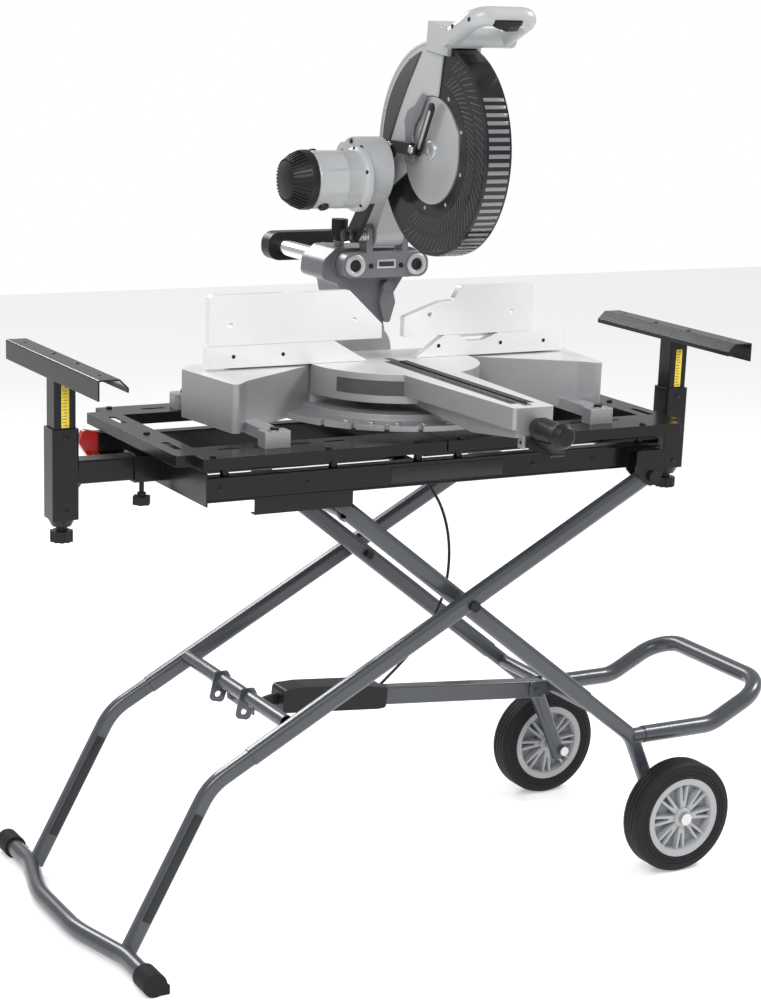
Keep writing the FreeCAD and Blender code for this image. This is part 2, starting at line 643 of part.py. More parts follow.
def brace_pawl():
    """The latch pawl: a plate pivoted in the grip whose nose sits under the striker."""
    far = float(D.grip_far)
    pivot = far - 16
    outline = [(-pivot + 8, -8, 4), (-far - 30, -8, 3), (-far - 30, 3, 2), (-far - 14, 8, 3), (-pivot + 8, 8, 4)]
    blank = plate("pawl_blank", outline, 7.0, on_brace(0, 0, 0), brace_turn() * FACE_Y)
    pin = rod("pawl_pin", 3.0, 8.6, on_brace(pivot, 0, 0), ALONG_Y)
    return node("brace_pawl", fuse("brace_pawl", blank, pin))


def gas_spring():
    """A gas spring beside the inner leg: a cylinder, its rod, and an eye at each end."""
    turn = leg_turn(180 - float(D.inner_angle))
    y = -float(D.gas_spring_y)
    low, high = 30.0, inner_arm - 72.0
    pieces = []
    for word, start, end, radius in (("barrel", low, high - 62, 9.0), ("stem", high - 62, high, 4.0)):
        middle = inner_point((start + end) / 2)
        pieces.append(rod("spring_" + word, radius, end - start, at(middle.x, y, middle.z), turn))
    foot = inner_point(low)
    lug = rod("spring_foot", 5.0, float(D.inner_leg_y) - 12 - float(D.gas_spring_y), 
              at(foot.x, -(float(D.inner_leg_y) - 12 + float(D.gas_spring_y)) / 2, foot.z), ALONG_Y)
    bar = inner_point(high)
    clear = rod("spring_clear", D.cross_tube_radius - 2 + 0.05, 60, at(bar.x, y, bar.z), ALONG_Y)
    collar = rod("spring_eye", 13.0, 12.0, at(bar.x, y, bar.z), ALONG_Y)
    return node("gas_spring", cut("gas_spring", fuse("spring_blank", *pieces, lug, collar), clear))


# ---- beam frame with its trays -----------------------------------------------------------------
def beam_rails():
    """Front and rear rails with the spacer posts that hold the trays above them."""
    z = D.beam_top - D.rail_height / 2
    length = D.beam_right - D.beam_left
    x = (float(D.beam_left) + float(D.beam_right)) / 2
    rails = []
    for word, side in SIDES:
        y = side * (float(D.beam_half_width) - float(D.rail_width) / 2)
        inner = rectangle(D.rail_width - 2 * D.sheet_steel, D.rail_height - 2 * D.sheet_steel, 1.0)
        rail = plate("rail_" + word, rectangle(D.rail_width, D.rail_height, 2.5), length, at(x, y, z), FACE_X,
                     cutouts=[inner])
        gap = float(D.tray_top) - float(D.tray_sheet) - float(D.beam_top)
        posts = []
        for index, post_x in enumerate((-440.0, -250.0, -95.0, -20.0, 180.0, 340.0)):
            posts.append(rod("spacer_%s_%d" % (word, index), 7.0, gap + 1,
                             at(post_x, side * 178.0, D.beam_top + gap / 2 - 0.5)))
        rails.append(fuse("rail_weldment_" + word, rail, *posts))
    span = 2 * (float(D.beam_half_width) - float(D.rail_width)) + 2
    tie = block("beam_tie", (40, span, D.sheet_steel), at(D.cable_x, 0, beam_bottom + 1.7))
    return node("beam_rails", fuse("beam_rails", *rails, tie))


def beam_left_end():
    """Left end plate with a lip and the square guide of the left extension arm."""
    low, high = beam_bottom - 6.0, float(D.beam_top) + 6.0
    span = 2 * float(D.beam_half_width)
    x = D.beam_left - D.sheet_steel / 2
    web = block("left_web", (D.sheet_steel, span, high - low), at(x, 0, (low + high) / 2))
    lip = block("left_lip", (26.0, span - 60, D.sheet_steel), at(D.beam_left + 10.0, 0, low + 1.5))
    guide = arm_guide("left", float(D.beam_left) - float(D.sheet_steel) - 24, 48.0)
    opening = block("left_opening", (120, D.arm_width + 2 * D.arm_gap, D.arm_height + 2 * D.arm_gap), at(x, 0, D.arm_centre_z))
    plate_end = cut("left_plate", fuse("left_weldment", web, lip, guide), opening)
    return node("beam_left_end", group("beam_left_end", plate_end, release_housing()))


def arm_guide(word, x, length):
    outer = rectangle(D.arm_width + 8.0, D.arm_height + 8.0, 3.0)
    return plate("guide_" + word, outer, length, at(x, 0, D.arm_centre_z), FACE_X)


def beam_right_end():
    """Right end plate, the guide of the right arm and the clevises that carry the outer legs."""
    low, high = beam_bottom, float(D.beam_top) + 6.0
    span = 2 * float(D.beam_half_width)
    x = float(D.beam_right) + float(D.sheet_steel) / 2
    web = block("right_web", (D.sheet_steel, span, high - low), at(x, 0, (low + high) / 2))
    guide = arm_guide("right", float(D.beam_right) + float(D.sheet_steel) + 20, 40.0)
    opening = block("right_opening", (120, D.arm_width + 2 * D.arm_gap, D.arm_height + 2 * D.arm_gap), at(x, 0, D.arm_centre_z))
    pieces = [cut("right_plate", fuse("right_blank", web, guide), opening)]
    ears = []
    for word, side in SIDES:
        for place_word, y in (("outer", float(D.outer_leg_y) + 14.1), ("inner", float(D.outer_leg_y) - 14.1)):
            ear = [(top_x - 22, top_z - 4, 8), (top_x - 6, top_z - 17, 10), (top_x + 17, top_z - 14, 12),
                   (top_x + 22, beam_bottom + 34, 3), (top_x - 34, beam_bottom + 34, 3), (top_x - 34, top_z + 8, 6)]
            hole = [(top_x, top_z, float(D.pivot_bolt_radius) + float(D.running_gap))]
            ears.append(plate("ear_%s_%s" % (place_word, word), ear, 3.4, at(0, side * y, 0), FACE_Y, holes=hole))
        bridge = block("ear_bridge_" + word, (46, 31.6, 3), at(top_x - 6, side * D.outer_leg_y, beam_bottom + 32.5))
        ears.append(bridge)
        tab = block("ear_tab_" + word, (12, 5, 30),
                    at(D.beam_right - 3.0, side * (D.beam_half_width + 2.5), beam_bottom + 19))
        ears.append(tab)
    return node("beam_right_end", fuse("beam_right_end", *pieces, *ears))


def track_channels():
    """Channels under both rails in which the inner frame's rollers run."""
    length = D.channel_right - D.channel_left
    x = (float(D.channel_left) + float(D.channel_right)) / 2
    drop, wall = float(D.channel_drop), float(D.channel_wall)
    channels = []
    for word, side in SIDES:
        web_y, lip_y = 189.5, 175.2
        outline = [(0, 0), (web_y - lip_y, 0), (web_y - lip_y, -drop), (0, -drop), (0, -drop + wall),
                   (web_y - lip_y - wall, -drop + wall), (web_y - lip_y - wall, -wall), (0, -wall)]
        outline = [(side * (lip_y + u), v) for u, v in outline]
        channels.append(plate("channel_" + word, outline, length, at(x, 0, beam_bottom), FACE_X))
    return node("track_channels", group("track_channels", *channels))


def tray(name, left, right, cross_left, cross_right, slots):
    """A folded tray: front and rear slotted strips joined by one slotted cross plate."""
    height = D.tray_height
    z = D.tray_top - height / 2
    front = [(left, D.front_tray_outer), (right, D.front_tray_outer), (right, D.front_tray_inner),
             (left, D.front_tray_inner)]
    rear = [(left, D.rear_tray_inner), (right, D.rear_tray_inner), (right, D.rear_tray_outer),
            (left, D.rear_tray_outer)]
    cross = [(cross_left, -176.0), (cross_right, -176.0), (cross_right, 196.0), (cross_left, 196.0)]
    solids = []
    for word, corners in (("front", front), ("rear", rear), ("cross", cross)):
        outline = [(float(u), float(v), 2.0) for u, v in corners]
        solids.append(plate("%s_%s" % (name, word), outline, height, at(0, 0, z)))
    shell = fuse(name + "_blank", *solids)
    hollows = []
    sheet_gap = float(D.tray_sheet)
    for word, corners in (("front", front), ("rear", rear), ("cross", cross)):
        (u0, v0), (u1, v1) = [tuple(float(n) for n in corners[k]) for k in (0, 2)]
        hollows.append(block("%s_%s_hollow" % (name, word), (u1 - u0 - 2 * sheet_gap, v1 - v0 - 2 * sheet_gap, height),
                             at((u0 + u1) / 2, (v0 + v1) / 2, z - sheet_gap)))
    cuts = []
    for index, (slot_x, slot_y, length_x, length_y) in enumerate(slots):
        outline = rectangle(length_x, length_y, min(length_x, length_y) / 2 - 0.01)
        cuts.append(plate("%s_slot_%d" % (name, index), outline, 30, at(slot_x, slot_y, D.tray_top)))
    return node(name, cut(name, shell, *hollows, *cuts))


def left_tray():
    slots = [(-495.0, -100.0, 12, 60), (-495.0, 120.0, 12, 60)]
    for step in range(4):
        slots.append((-420.0 + 62 * step, -150.0, 38, 9))
        slots.append((-400.0 + 80 * step, 196.0, 44, 9))
    return tray("left_tray", D.tray_left + 30, D.tray_split - 1, D.tray_left, D.tray_left + D.cross_plate_width, slots)


def right_tray():
    slots = [(398.0, -100.0, 12, 60), (398.0, 120.0, 12, 60)]
    for step in range(4):
        slots.append((110.0 + 62 * step, -150.0, 38, 9))
        slots.append((60.0 + 80 * step, 196.0, 44, 9))
    return tray("right_tray", D.tray_split + 1, D.tray_right - 20, D.tray_right - D.cross_plate_width, D.tray_right, slots)


def carry_handle():
    """A bar out of the beam's left end with a bent hand grip, and its rubber sleeve."""
    x, y, z = float(D.beam_left), 150.0, beam_bottom + 4
    points = [at(x - float(D.sheet_steel), y, z), at(x - 62, y, z), at(x - 140, y - 96, z - 26)]
    bar = pipe("carry_bar", points, [30], D.carry_bar_radius)
    end = points[2]
    start = points[1]
    heading = (end - start).normalize()
    middle = end - heading * 42
    sleeve = rod("sleeve_blank", 14.0, 104.0, middle, Rotation(Z_AXIS, heading))
    core = rod("sleeve_core", D.carry_bar_radius, 200.0, middle - heading * 58, Rotation(Z_AXIS, heading))
    return node("carry_handle", group("carry_handle", bar, cut("foam_sleeve", sleeve, core)))


def release_housing():
    """The black fork on the left end plate that carries the release lever on a pin."""
    x, y, z = float(D.beam_left) - 3.0, 176.0, float(D.beam_top) + 2
    housing = block("release_block", (34, 24, 44), at(x - 17.2, y, z - 18))
    pocket = block("release_pocket", (40, 14, 60), at(x - 24, y, z - 18))
    pin = rod("release_pin", 3.0, 22, at(x - 22, y, z - 14), ALONG_Y)
    return fuse("release_housing", cut("release_fork", housing, pocket), pin)


def release_lever():
    """The red latch release paddle."""
    x, y, z = float(D.beam_left) - 3.0, 176.0, float(D.beam_top) + 2
    paddle = [(-30, -22, 5), (12, -12, 4), (12, 14, 6), (-38, 24, 7), (-46, 2, 6)]
    lever = plate("release_paddle", paddle, 13.2, at(x - 22, y, z - 14), FACE_Y,
                  holes=[(0, 0, 3.0 + float(D.running_gap))])
    return node("release_lever", lever)


# ---- extension arms and work supports ----------------------------------------------------------
def extension_arm(name, side, post_x, start):
    """A square arm that slides in the beam's guide and ends in the upright outer post."""
    post_half = float(D.post_width) / 2
    end = float(post_x) - side * post_half
    length = abs(end - start)
    walls = rectangle(D.arm_width - 2 * D.arm_wall, D.arm_height - 2 * D.arm_wall, 1.0)
    beam = plate(name + "_section", rectangle(D.arm_width, D.arm_height, 3.0), length,
                 at((start + end) / 2, 0, D.arm_centre_z), FACE_X, cutouts=[walls])
    height = D.post_top - D.post_bottom
    post_z = (float(D.post_top) + float(D.post_bottom)) / 2
    bore = rectangle(D.post_inner + 0.6, D.post_inner + 0.6, 2.5)
    post = plate(name + "_post", rectangle(D.post_width, D.post_width, 4.0), height, at(post_x, 0, post_z),
                 cutouts=[bore])
    plug_z = float(D.post_bottom) - 5
    plug = turned(name + "_plug", [(4.1, -7), (16, -7), (22, 5), (22, 7), (4.1, 7)],
                  at(post_x, 0, plug_z), FACE_Y)
    return node(name, fuse(name, beam, post, plug))


def support_head(name, side, post_x):
    """The height-adjustable head: an inner post under a folded cross channel."""
    low, high = float(D.post_bottom) + 12, float(D.head_top) - 3
    inner = rectangle(D.post_inner - 2 * D.arm_wall, D.post_inner - 2 * D.arm_wall, 1.0)
    post = plate(name + "_post", rectangle(D.post_inner, D.post_inner, 2.5), high - low,
                 at(post_x, 0, (low + high) / 2), cutouts=[inner])
    half, wall = float(D.head_width) / 2, 2.5
    flange, top = float(D.head_flange), 0.0
    section = [(half + 2, top, 2.5), (half + 2, -flange), (half + 2 - wall, -flange), (half + 2 - wall, -wall, 1),
               (-half + 1, -wall), (-half - 12, -15), (-half - 12, -21), (-half - 12 - wall, -21),
               (-half - 12 - wall, -14), (-half, top, 1)]
    section = [(side * corner[0],) + tuple(corner[1:]) for corner in section]
    channel = plate(name + "_channel", section, D.head_length, at(post_x, 0, D.head_top), FACE_Y)
    holes = [rod("%s_hole_%d" % (name, k), 3.2, 20, at(post_x, y, D.head_top)) for k, y in enumerate((-160, 160))]
    return node(name, fuse(name + "_whole", post, cut(name + "_drilled", channel, *holes)))


def star_knob(name, radius, height, stud, centre, lobes=6):
    """A lobed knob with its stud above it; centre is the top of the knob."""
    outline = []
    for index in range(2 * lobes):
        reach = radius if index % 2 == 0 else radius * 0.78
        angle = math.radians(180.0 * index / lobes)
        outline.append((reach * math.cos(angle), reach * math.sin(angle), radius * 0.12))
    head = plate(name + "_head", outline, height, centre - Vector(0, 0, height / 2))
    neck = rod(name + "_neck", radius * 0.45, 6.0, centre + Vector(0, 0, 2.9))
    screw = rod(name + "_stud", 4.0, stud, centre + Vector(0, 0, stud / 2 - 0.1))
    return node(name, fuse(name, head, neck, screw))


def support_knobs():
    for word, post_x in (("left", D.left_post_x), ("right", D.right_post_x)):
        star_knob(word + "_post_knob", 20.0, 18.0, 17.0, at(post_x, 0, D.post_bottom - 20.0), 10)
    for word, x in (("left", float(D.beam_left) - 30.0), ("right", float(D.beam_right) + 24.0)):
        face = float(D.arm_centre_z) - float(D.arm_height) / 2 - 4
        star_knob(word + "_arm_knob", 16.0, 14.0, face - (float(D.arm_centre_z) - 50.0) - 0.6, at(x, 0, D.arm_centre_z - 50.0), 6)


def release_cable():
    """The latch cable: out of the beam, round in a wide bow and into the back of the grip."""
    y, start = D.cable_y, beam_bottom - 2.3
    end = on_brace(float(D.grip_near) - 2.2, float(y), 6.0)
    points = [at(D.cable_x, y, start), at(18, y, 712), at(60, y, 668), at(84, y, 612), at(92, y, 550),
              at(84, y, 488), at(58, y, 432), at(16, y, 380), end]
    radii = []
    for before, here, after in zip(points, points[1:], points[2:]):
        first, second = here - before, after - here
        shorter = min(first.Length, second.Length)
        radii.append(0.45 * shorter / math.tan(first.getAngle(second) / 2))
    print("cable radii", [round(radius) for radius in radii])
    return node("release_cable", pipe("release_cable", points, radii, D.cable_radius))


# ---- mitre saw: base, turntable and fences -----------------------------------------------------
def saw_base():
    """The cast base: two wings, a round housing under the table, a detent apron and four feet."""
    x, y = D.saw_x, D.fence_y
    low, top = float(D.tray_top), float(D.table_top) - 3
    wing_low, housing_top = low + 12, low + 30
    wing = [(118.0, 56.0), (118.0, 20.0), (149.0, 29.0, 6), (315.0, -76.0, 6), (349.0, -111.0, 8),
            (370.0, 58.0, 12), (340.0, 92.0, 20), (150.0, 92.0)]
    hollow = [(180.0, 76.0, 6), (180.0, 24.0, 6), (322.0, -66.0, 6), (340.0, -86.0, 6), (356.0, 54.0, 8),
              (334.0, 76.0, 10)]
    solids, hollows = [], []
    for side in (-1, 1):
        outline = mirrored(wing, float(x), side)
        solids.append(plate("wing_%d" % side, outline, top - wing_low, at(0, 0, (top + wing_low) / 2)))
        hollows.append(plate("wing_hollow_%d" % side, mirrored(hollow, float(x), side), 140.0,
                             at(0, 0, top - 7 - 70)))
        for foot_y in (-158.0, 188.0):
            foot_x = x + side * 305.0
            foot_word = "%d_%d" % (side, foot_y)
            solids.append(plate("foot_" + foot_word, rectangle(46, 30, 4), 26, at(foot_x, foot_y, low + 13)))
            reach = abs(foot_y) - 30.0
            middle = math.copysign(abs(foot_y) - reach / 2, foot_y)
            arm = block("foot_arm_" + foot_word, (30, reach, 18), at(foot_x, middle, low + 17))
            hollows.append(block("foot_groove_" + foot_word, (20, reach - 30, 14), at(foot_x, middle, low + 11)))
            solids.append(arm)
    solids.append(rod("table_housing", D.table_radius + 14, housing_top - wing_low,
                      at(x, y, (housing_top + wing_low) / 2)))
    boss_top = float(D.table_top) - float(D.table_depth) - 0.1
    solids.append(rod("table_bearing", 60.0, boss_top - wing_low, at(x, y, (boss_top + wing_low) / 2)))
    solids.append(rod("detent_apron", D.table_radius + 62, 9, at(x, y, low + 16.5)))
    blank = fuse("base_blank", *solids)
    well = rod("table_well", D.table_radius + 2, 200, at(x, y, boss_top + 100))
    tail = block("trunnion_room", (340, 120, 100), at(x, D.support_front - 1.0 + 60, low + 32 + 50))
    slots = []
    for index, angle in enumerate((-150, -135, -120, -105, -75, -60, -45, -30)):
        turn = Rotation(Z_AXIS, angle)
        place = at(x, y, low + 20) + turn.multVec(Vector(float(D.table_radius) + 56, 0, 0))
        slots.append(block("detent_%d" % index, (16, 8, 20), place, turn))
    return node("saw_base", cut("saw_base", blank, well, tail, *slots, *hollows))


def mirrored(outline, centre, side):
    """An outline given outward from a centre line, on either side of it."""
    turned_corners = [(centre + side * u,) + tuple(rest) for u, *rest in outline]
    return turned_corners if side > 0 else turned_corners[::-1]


def turntable():
    """The turning table with its long arm, kerf slot and the trunnion for the bevel support."""
    x, y, top = D.saw_x, D.fence_y, float(D.table_top)
    disc = rod("table_disc", D.table_radius, D.table_depth, at(x, y, top - float(D.table_depth) / 2))
    arm = [(x - 58.0, -30.0), (x - 36.0, -D.arm_reach, 6), (x + 36.0, -D.arm_reach, 6), (x + 58.0, -30.0)]
    arm = [tuple(float(n) for n in corner) for corner in arm]
    slab = plate("arm_slab", arm, 34.0, at(0, 0, top - 17))
    profile = [(-62.0, top - 30), (-62.0, top - 48), (-300.0, top - 62, 10), (-float(D.arm_reach), top - 46, 6),
               (-float(D.arm_reach), top - 30)]
    keel = plate("arm_keel", profile, 60.0, at(x, 0, 0), FACE_X)
    face, front = float(D.trunnion_face), float(D.support_front)
    trunnion = rod("trunnion", D.trunnion_radius, face - front, at(x, (face + front) / 2, top), ALONG_Y)
    pin = rod("bevel_pin", D.bevel_pin_radius, float(D.support_depth), at(x, face + 38, top), ALONG_Y)
    neck = block("trunnion_neck", (92, face - front + 40, 40), at(x, (face + front) / 2 - 20, top - 28))
    tail = block("table_tail", (400, 100, 100), at(x, front + 50, top))
    blank = fuse("table_blank", cut("table_front", disc, tail), slab, keel, trunnion, neck, pin)
    ears = []
    for index, ear_x in enumerate((x - 15.5, x + 15.5)):
        ears.append(block("detent_ear_%d" % index, (4, 16, 20), at(ear_x, 8 - float(D.arm_reach), top - 54)))
    pin_hole = rod("detent_pin_hole", 3.0 + float(D.running_gap), 60, at(x, 8 - float(D.arm_reach), top - 55), ALONG_X)
    kerf = block("kerf_slot", (D.kerf_width, 452.0, 120), at(x, -190.0, top))
    seat = block("kerf_seat", (44.2, 404.2, 8), at(x, -196.0, top + 1))
    table = cut("table_cast", blank, kerf, seat)
    return node("turntable", cut("turntable", fuse("table_with_ears", table, *ears), pin_hole))


def kerf_plate():
    x, top = D.saw_x, float(D.table_top)
    blank = block("kerf_blank", (44.0, 404.0, 2.9), at(x, -196.0, top - 1.5))
    slot = block("kerf_gap", (D.kerf_width, 500.0, 20), at(x, -196.0 + 50 - 60, top))
    return node("kerf_plate", cut("kerf_plate", blank, slot))


def fixed_fences():
    """The lower fences on the base, one each side of the blade, with a sliding groove on top."""
    low, high = float(D.table_top) + 0.5, float(D.fence_split)
    y, fences = float(D.fence_y), []
    left = [(-382.0, low), (-86.0, low), (-150.0, high), (-382.0, high)]
    right = [(8.0, low), (306.0, low), (306.0, high), (170.0, high), (140.0, high - 12), (108.0, high - 12),
             (92.0, high), (62.0, high)]
    for word, outline in (("left", left), ("right", right)):
        wall = plate("fence_wall_" + word, outline, 14.0, at(0, y + 7, 0), FACE_Y)
        u0, u1 = outline[0][0], outline[1][0]
        side = -1 if word == "left" else 1
        foot_u = (u0 + 40, u1 - 104) if word == "left" else (u0 + 100, u1 - 10)
        ledge = block("fence_ledge_" + word, (foot_u[1] - foot_u[0], 34, 14), at(sum(foot_u) / 2, y + 31, low + 7))
        pads = []
        for index, pad_x in enumerate(foot_u):
            pad_x += 16 if index == 0 else -16
            if abs(pad_x - float(D.saw_x)) > float(D.table_radius) + 10:
                pads.append(rod("fence_pad_%s_%d" % (word, index), 11.0, 4.0, at(pad_x, y + 40, low - 1.5)))
        fences.append(fuse("fence_" + word, wall, ledge, *pads))
    return node("fixed_fences", group("fixed_fences", *fences))


def sliding_fence(name, outline, holes):
    low = float(D.fence_split) + 0.3
    points = [(u, low + v) + tuple(rest) for u, v, *rest in outline]
    wall = plate(name + "_wall", points, 14.0, at(0, D.fence_y + 7.0, 0), FACE_Y,
                 holes=[(u, low + v, 4.0) for u, v in holes])
    span = (outline[0][0] + 24, outline[1][0] - 90) if name == "left_fence" else (outline[0][0] + 110, outline[1][0] - 20)
    key = block(name + "_key", (span[1] - span[0], 10, 26), at(sum(span) / 2, D.fence_y + 19.3, low + 6))
    return node(name, fuse(name, wall, key))


def fences():
    fixed_fences()
    height = float(D.fence_top) - float(D.fence_split)
    left = [(-378.0, 0.0), (-60.0, 0.0), (-60.0, 24.0, 4), (-124.0, height, 4), (-378.0, height, 8)]
    sliding_fence("left_fence", left, [(-340, 34), (-112, 34)])
    right = [(-17.0, 0.0), (237.0, 0.0), (237.0, height, 8), (92.0, height, 6), (78.0, height - 24, 6),
             (50.0, height - 26, 8), (-17.0, 34.0, 4)]
    sliding_fence("right_fence", right, [(32, 36), (196, 36)])


def mitre_controls():
    """The turning lock grip on the arm's end and the detent release under it."""
    x, z = D.saw_x, float(D.table_top) - 30
    end = -float(D.arm_reach)
    stem = rod("mitre_stem", 7.0, 24.0, at(x, end - 12.2, z), ALONG_Y)
    grip = turned("mitre_bulb", [(0, 0), (15, 0, 3), (19, -18, 6), (17, -58, 8), (21, -74, 6), (14, -84, 6), (0, -84)],
                  at(x, end - 8.0, z))
    node("mitre_grip", fuse("mitre_grip", stem, grip))
    outline = [(end + 14, z - 31, 4), (end - 70, z - 34, 5), (end - 72, z - 28, 2), (end + 14, z - 18.5, 4)]
    paddle = plate("detent_paddle", outline, 26.0, at(x, 0, 0), FACE_X)
    pin = rod("detent_pin", 3.0, 36.0, at(x, end + 8.0, z - 25), ALONG_X)
    node("detent_lever", fuse("detent_lever", paddle, pin))


# ---- bevel support, rails and carriage ----------------------------------------------------------
def bevel_support():
    """The casting that tilts on the trunnion pin and holds the two slide rails in its bores."""
    x, pivot = float(D.saw_x), float(D.table_top)
    front, face = float(D.support_front), float(D.trunnion_face)
    rail_z, half = float(D.rail_z), float(D.rail_spread) / 2
    rear = front + float(D.support_depth)
    outline = [(-34.0, pivot - 30, 24), (34.0, pivot - 30, 24), (54.0, pivot + 20, 10), (40.0, rail_z - 70, 20),
               (half + 10, rail_z - 26, 16), (half + 24, rail_z, 22), (half + 10, rail_z + 24, 10),
               (-half - 4, rail_z + 26, 10), (-half - 28, rail_z + 6, 20), (-half - 30, rail_z - 24, 10),
               (-half + 2, rail_z - 34, 8), (-44.0, pivot + 60, 20), (-54.0, pivot + 20, 6)]
    body = plate("support_body", outline, D.support_depth, at(x, (front + rear) / 2, 0), FACE_Y)
    rings, bores = [], []
    for index, side in enumerate((-1, 1)):
        ring_x = x + side * half + float(D.rail_shift)
        rings.append(rod("support_ring_%d" % index, 26.0, float(D.support_depth) + 12,
                         at(ring_x, (front + rear) / 2, rail_z), ALONG_Y))
        bores.append(rod("support_bore_%d" % index, D.slide_rail_radius + D.running_gap, 400,
                         at(ring_x, (front + rear) / 2, rail_z), ALONG_Y))
    knob_x = x - half + float(D.rail_shift)
    seat = rod("knob_seat", 9.0, 20, at(knob_x, front + 26, rail_z + 26))
    screw = rod("knob_screw_hole", 4.2, 60, at(knob_x, front + 26, rail_z + 44))
    room = rod("trunnion_clearance", D.trunnion_radius + D.washer_gap, 100,
               at(x, face + float(D.washer_gap) - 50, pivot), ALONG_Y)
    step = block("trunnion_step", (400, 100, 200),
                 at(x, face + float(D.washer_gap) - 50, pivot + float(D.trunnion_radius) + 6 - 100))
    pin_bore = rod("bevel_pin_bore", D.bevel_pin_radius + D.running_gap, 300, at(x, face + 100, pivot), ALONG_Y)
    shaft_bore = rod("bevel_shaft_bore", 5.0 + float(D.running_gap), 60,
                     at(D.bevel_lever_x, front + 10, D.bevel_lever_z), ALONG_Y)
    return node("bevel_support", cut("bevel_support", fuse("support_blank", body, *rings, seat), *bores, screw,
                                     room, step, pin_bore, shaft_bore))


def rail_lock_knob():
    x = float(D.saw_x) - float(D.rail_spread) / 2 + float(D.rail_shift)
    y, top = float(D.support_front) + 26, float(D.rail_z) + 36.4
    stud = rod("rail_stud", 4.0, 28, at(x, y, top - 4))
    collar = rod("rail_collar", 8.5, 8, at(x, y, top + 4))
    head = plate("rail_knob_head", [(15.0 * math.cos(math.radians(36 * k)) * (1 if k % 2 else 0.9),
                                     15.0 * math.sin(math.radians(36 * k)) * (1 if k % 2 else 0.9), 1.5)
                                    for k in range(10)], 28.0, at(x, y, top + 22))
    return node("rail_lock_knob", fuse("rail_lock_knob", stud, collar, head))


def bevel_lever():
    """The tear-drop clamp lever below the support's right-hand bore."""
    x, y, z = float(D.bevel_lever_x), float(D.support_front) - 7, float(D.bevel_lever_z)
    outline = [(-8, 0, 3), (-15, -28, 12), (-5, -62, 5), (5, -62, 5), (15, -28, 12), (8, 0, 3)]
    paddle = plate("bevel_paddle", outline, 10.0, at(x, y, z), FACE_Y)
    hub_piece = rod("bevel_hub", 10.0, 12.0, at(x, y, z), ALONG_Y)
    shaft = rod("bevel_shaft", 5.0, 24.0, at(x, y + 14, z), ALONG_Y)
    return node("bevel_lever", fuse("bevel_lever", paddle, hub_piece, shaft))


def slide_rails():
    """Two hollow rails, closed at the front, that slide in the support's bores."""
    x, z, half = float(D.saw_x) + float(D.rail_shift), float(D.rail_z), float(D.rail_spread) / 2
    front, rear = carriage_front + 4.02, float(D.rail_rear)
    rails = []
    for index, side in enumerate((-1, 1)):
        tube = rod("rail_%d" % index, D.slide_rail_radius, rear - front,
                   at(x + side * half, (front + rear) / 2, z), ALONG_Y)
        bore = rod("rail_bore_%d" % index, D.slide_rail_radius - 3.0, rear - front - 10,
                   at(x + side * half, (front + rear) / 2 + 5.1, z), ALONG_Y)
        rails.append(cut("rail_tube_%d" % index, tube, bore))
    return node("slide_rails", group("slide_rails", *rails))


def rail_end_cap():
    x, z, half = float(D.saw_x) + float(D.rail_shift), float(D.rail_z), float(D.rail_spread) / 2
    rear = float(D.rail_rear)
    outline = rectangle(2 * half + 52, 50, 22)
    cap = plate("cap_plate", outline, 30, at(x, rear - 8, z), FACE_Y)
    pockets = [rod("cap_pocket_%d" % k, D.slide_rail_radius, 24, at(x + side * half, rear - 12, z), ALONG_Y)
               for k, side in enumerate((-1, 1))]
    return node("rail_end_cap", cut("rail_end_cap", cap, *pockets))


def rail_carriage():
    """The bracket on the rails' front ends: two clamped bores and the ears of the chop pivot."""
    x, z, half = float(D.saw_x) + float(D.rail_shift), float(D.rail_z), float(D.rail_spread) / 2
    front = carriage_front
    pivot_y, pivot_z = float(D.chop_y), float(D.chop_z)
    bar = plate("carriage_bar", rectangle(2 * half + 46, 42, 18), 26, at(x, front + 13, z), FACE_Y)
    bores = [rod("carriage_bore_%d" % k, D.slide_rail_radius, 60, at(x + side * half, front + 34, z), ALONG_Y)
             for k, side in enumerate((-1, 1))]
    ears = []
    for index, ear_x in enumerate((head_arm_x - head_arm_half - 8.0, head_arm_x + head_arm_half + 8.0)):
        ear = [(front + 1, z - 12), (front + 25, z - 12), (pivot_y + 17, pivot_z, 14), (pivot_y + 8, pivot_z + 20, 12),
               (pivot_y - 12, pivot_z + 19, 12), (front + 1, z + 16, 3)]
        ears.append(plate("carriage_ear_%d" % index, ear, 12.0, at(ear_x, 0, 0), FACE_X))
    shaft_left, shaft_right = float(D.link_x) - 12.0, head_arm_x + head_arm_half + 16.0
    shaft = rod("chop_shaft", D.chop_shaft_radius, shaft_right - shaft_left,
                at((shaft_left + shaft_right) / 2, pivot_y, pivot_z), ALONG_X)
    blank = fuse("carriage_blank", bar, *ears, shaft)
    return node("rail_carriage", cut("rail_carriage", blank, *bores))


# ---- saw head ----------------------------------------------------------------------------------
def sector(radius, start, stop):
    """Outline of a pie slice about the blade centre, from one angle to the other, in degrees."""
    y, z = float(D.blade_y), float(D.blade_z)
    steps = max(2, int(abs(stop - start) / 15))
    points = [(y, z)]
    for index in range(steps + 1):
        angle = math.radians(start + (stop - start) * index / steps)
        reach = radius / math.cos(math.radians(abs(stop - start) / steps / 2))
        points.append((y + reach * math.cos(angle), z + reach * math.sin(angle)))
    return points


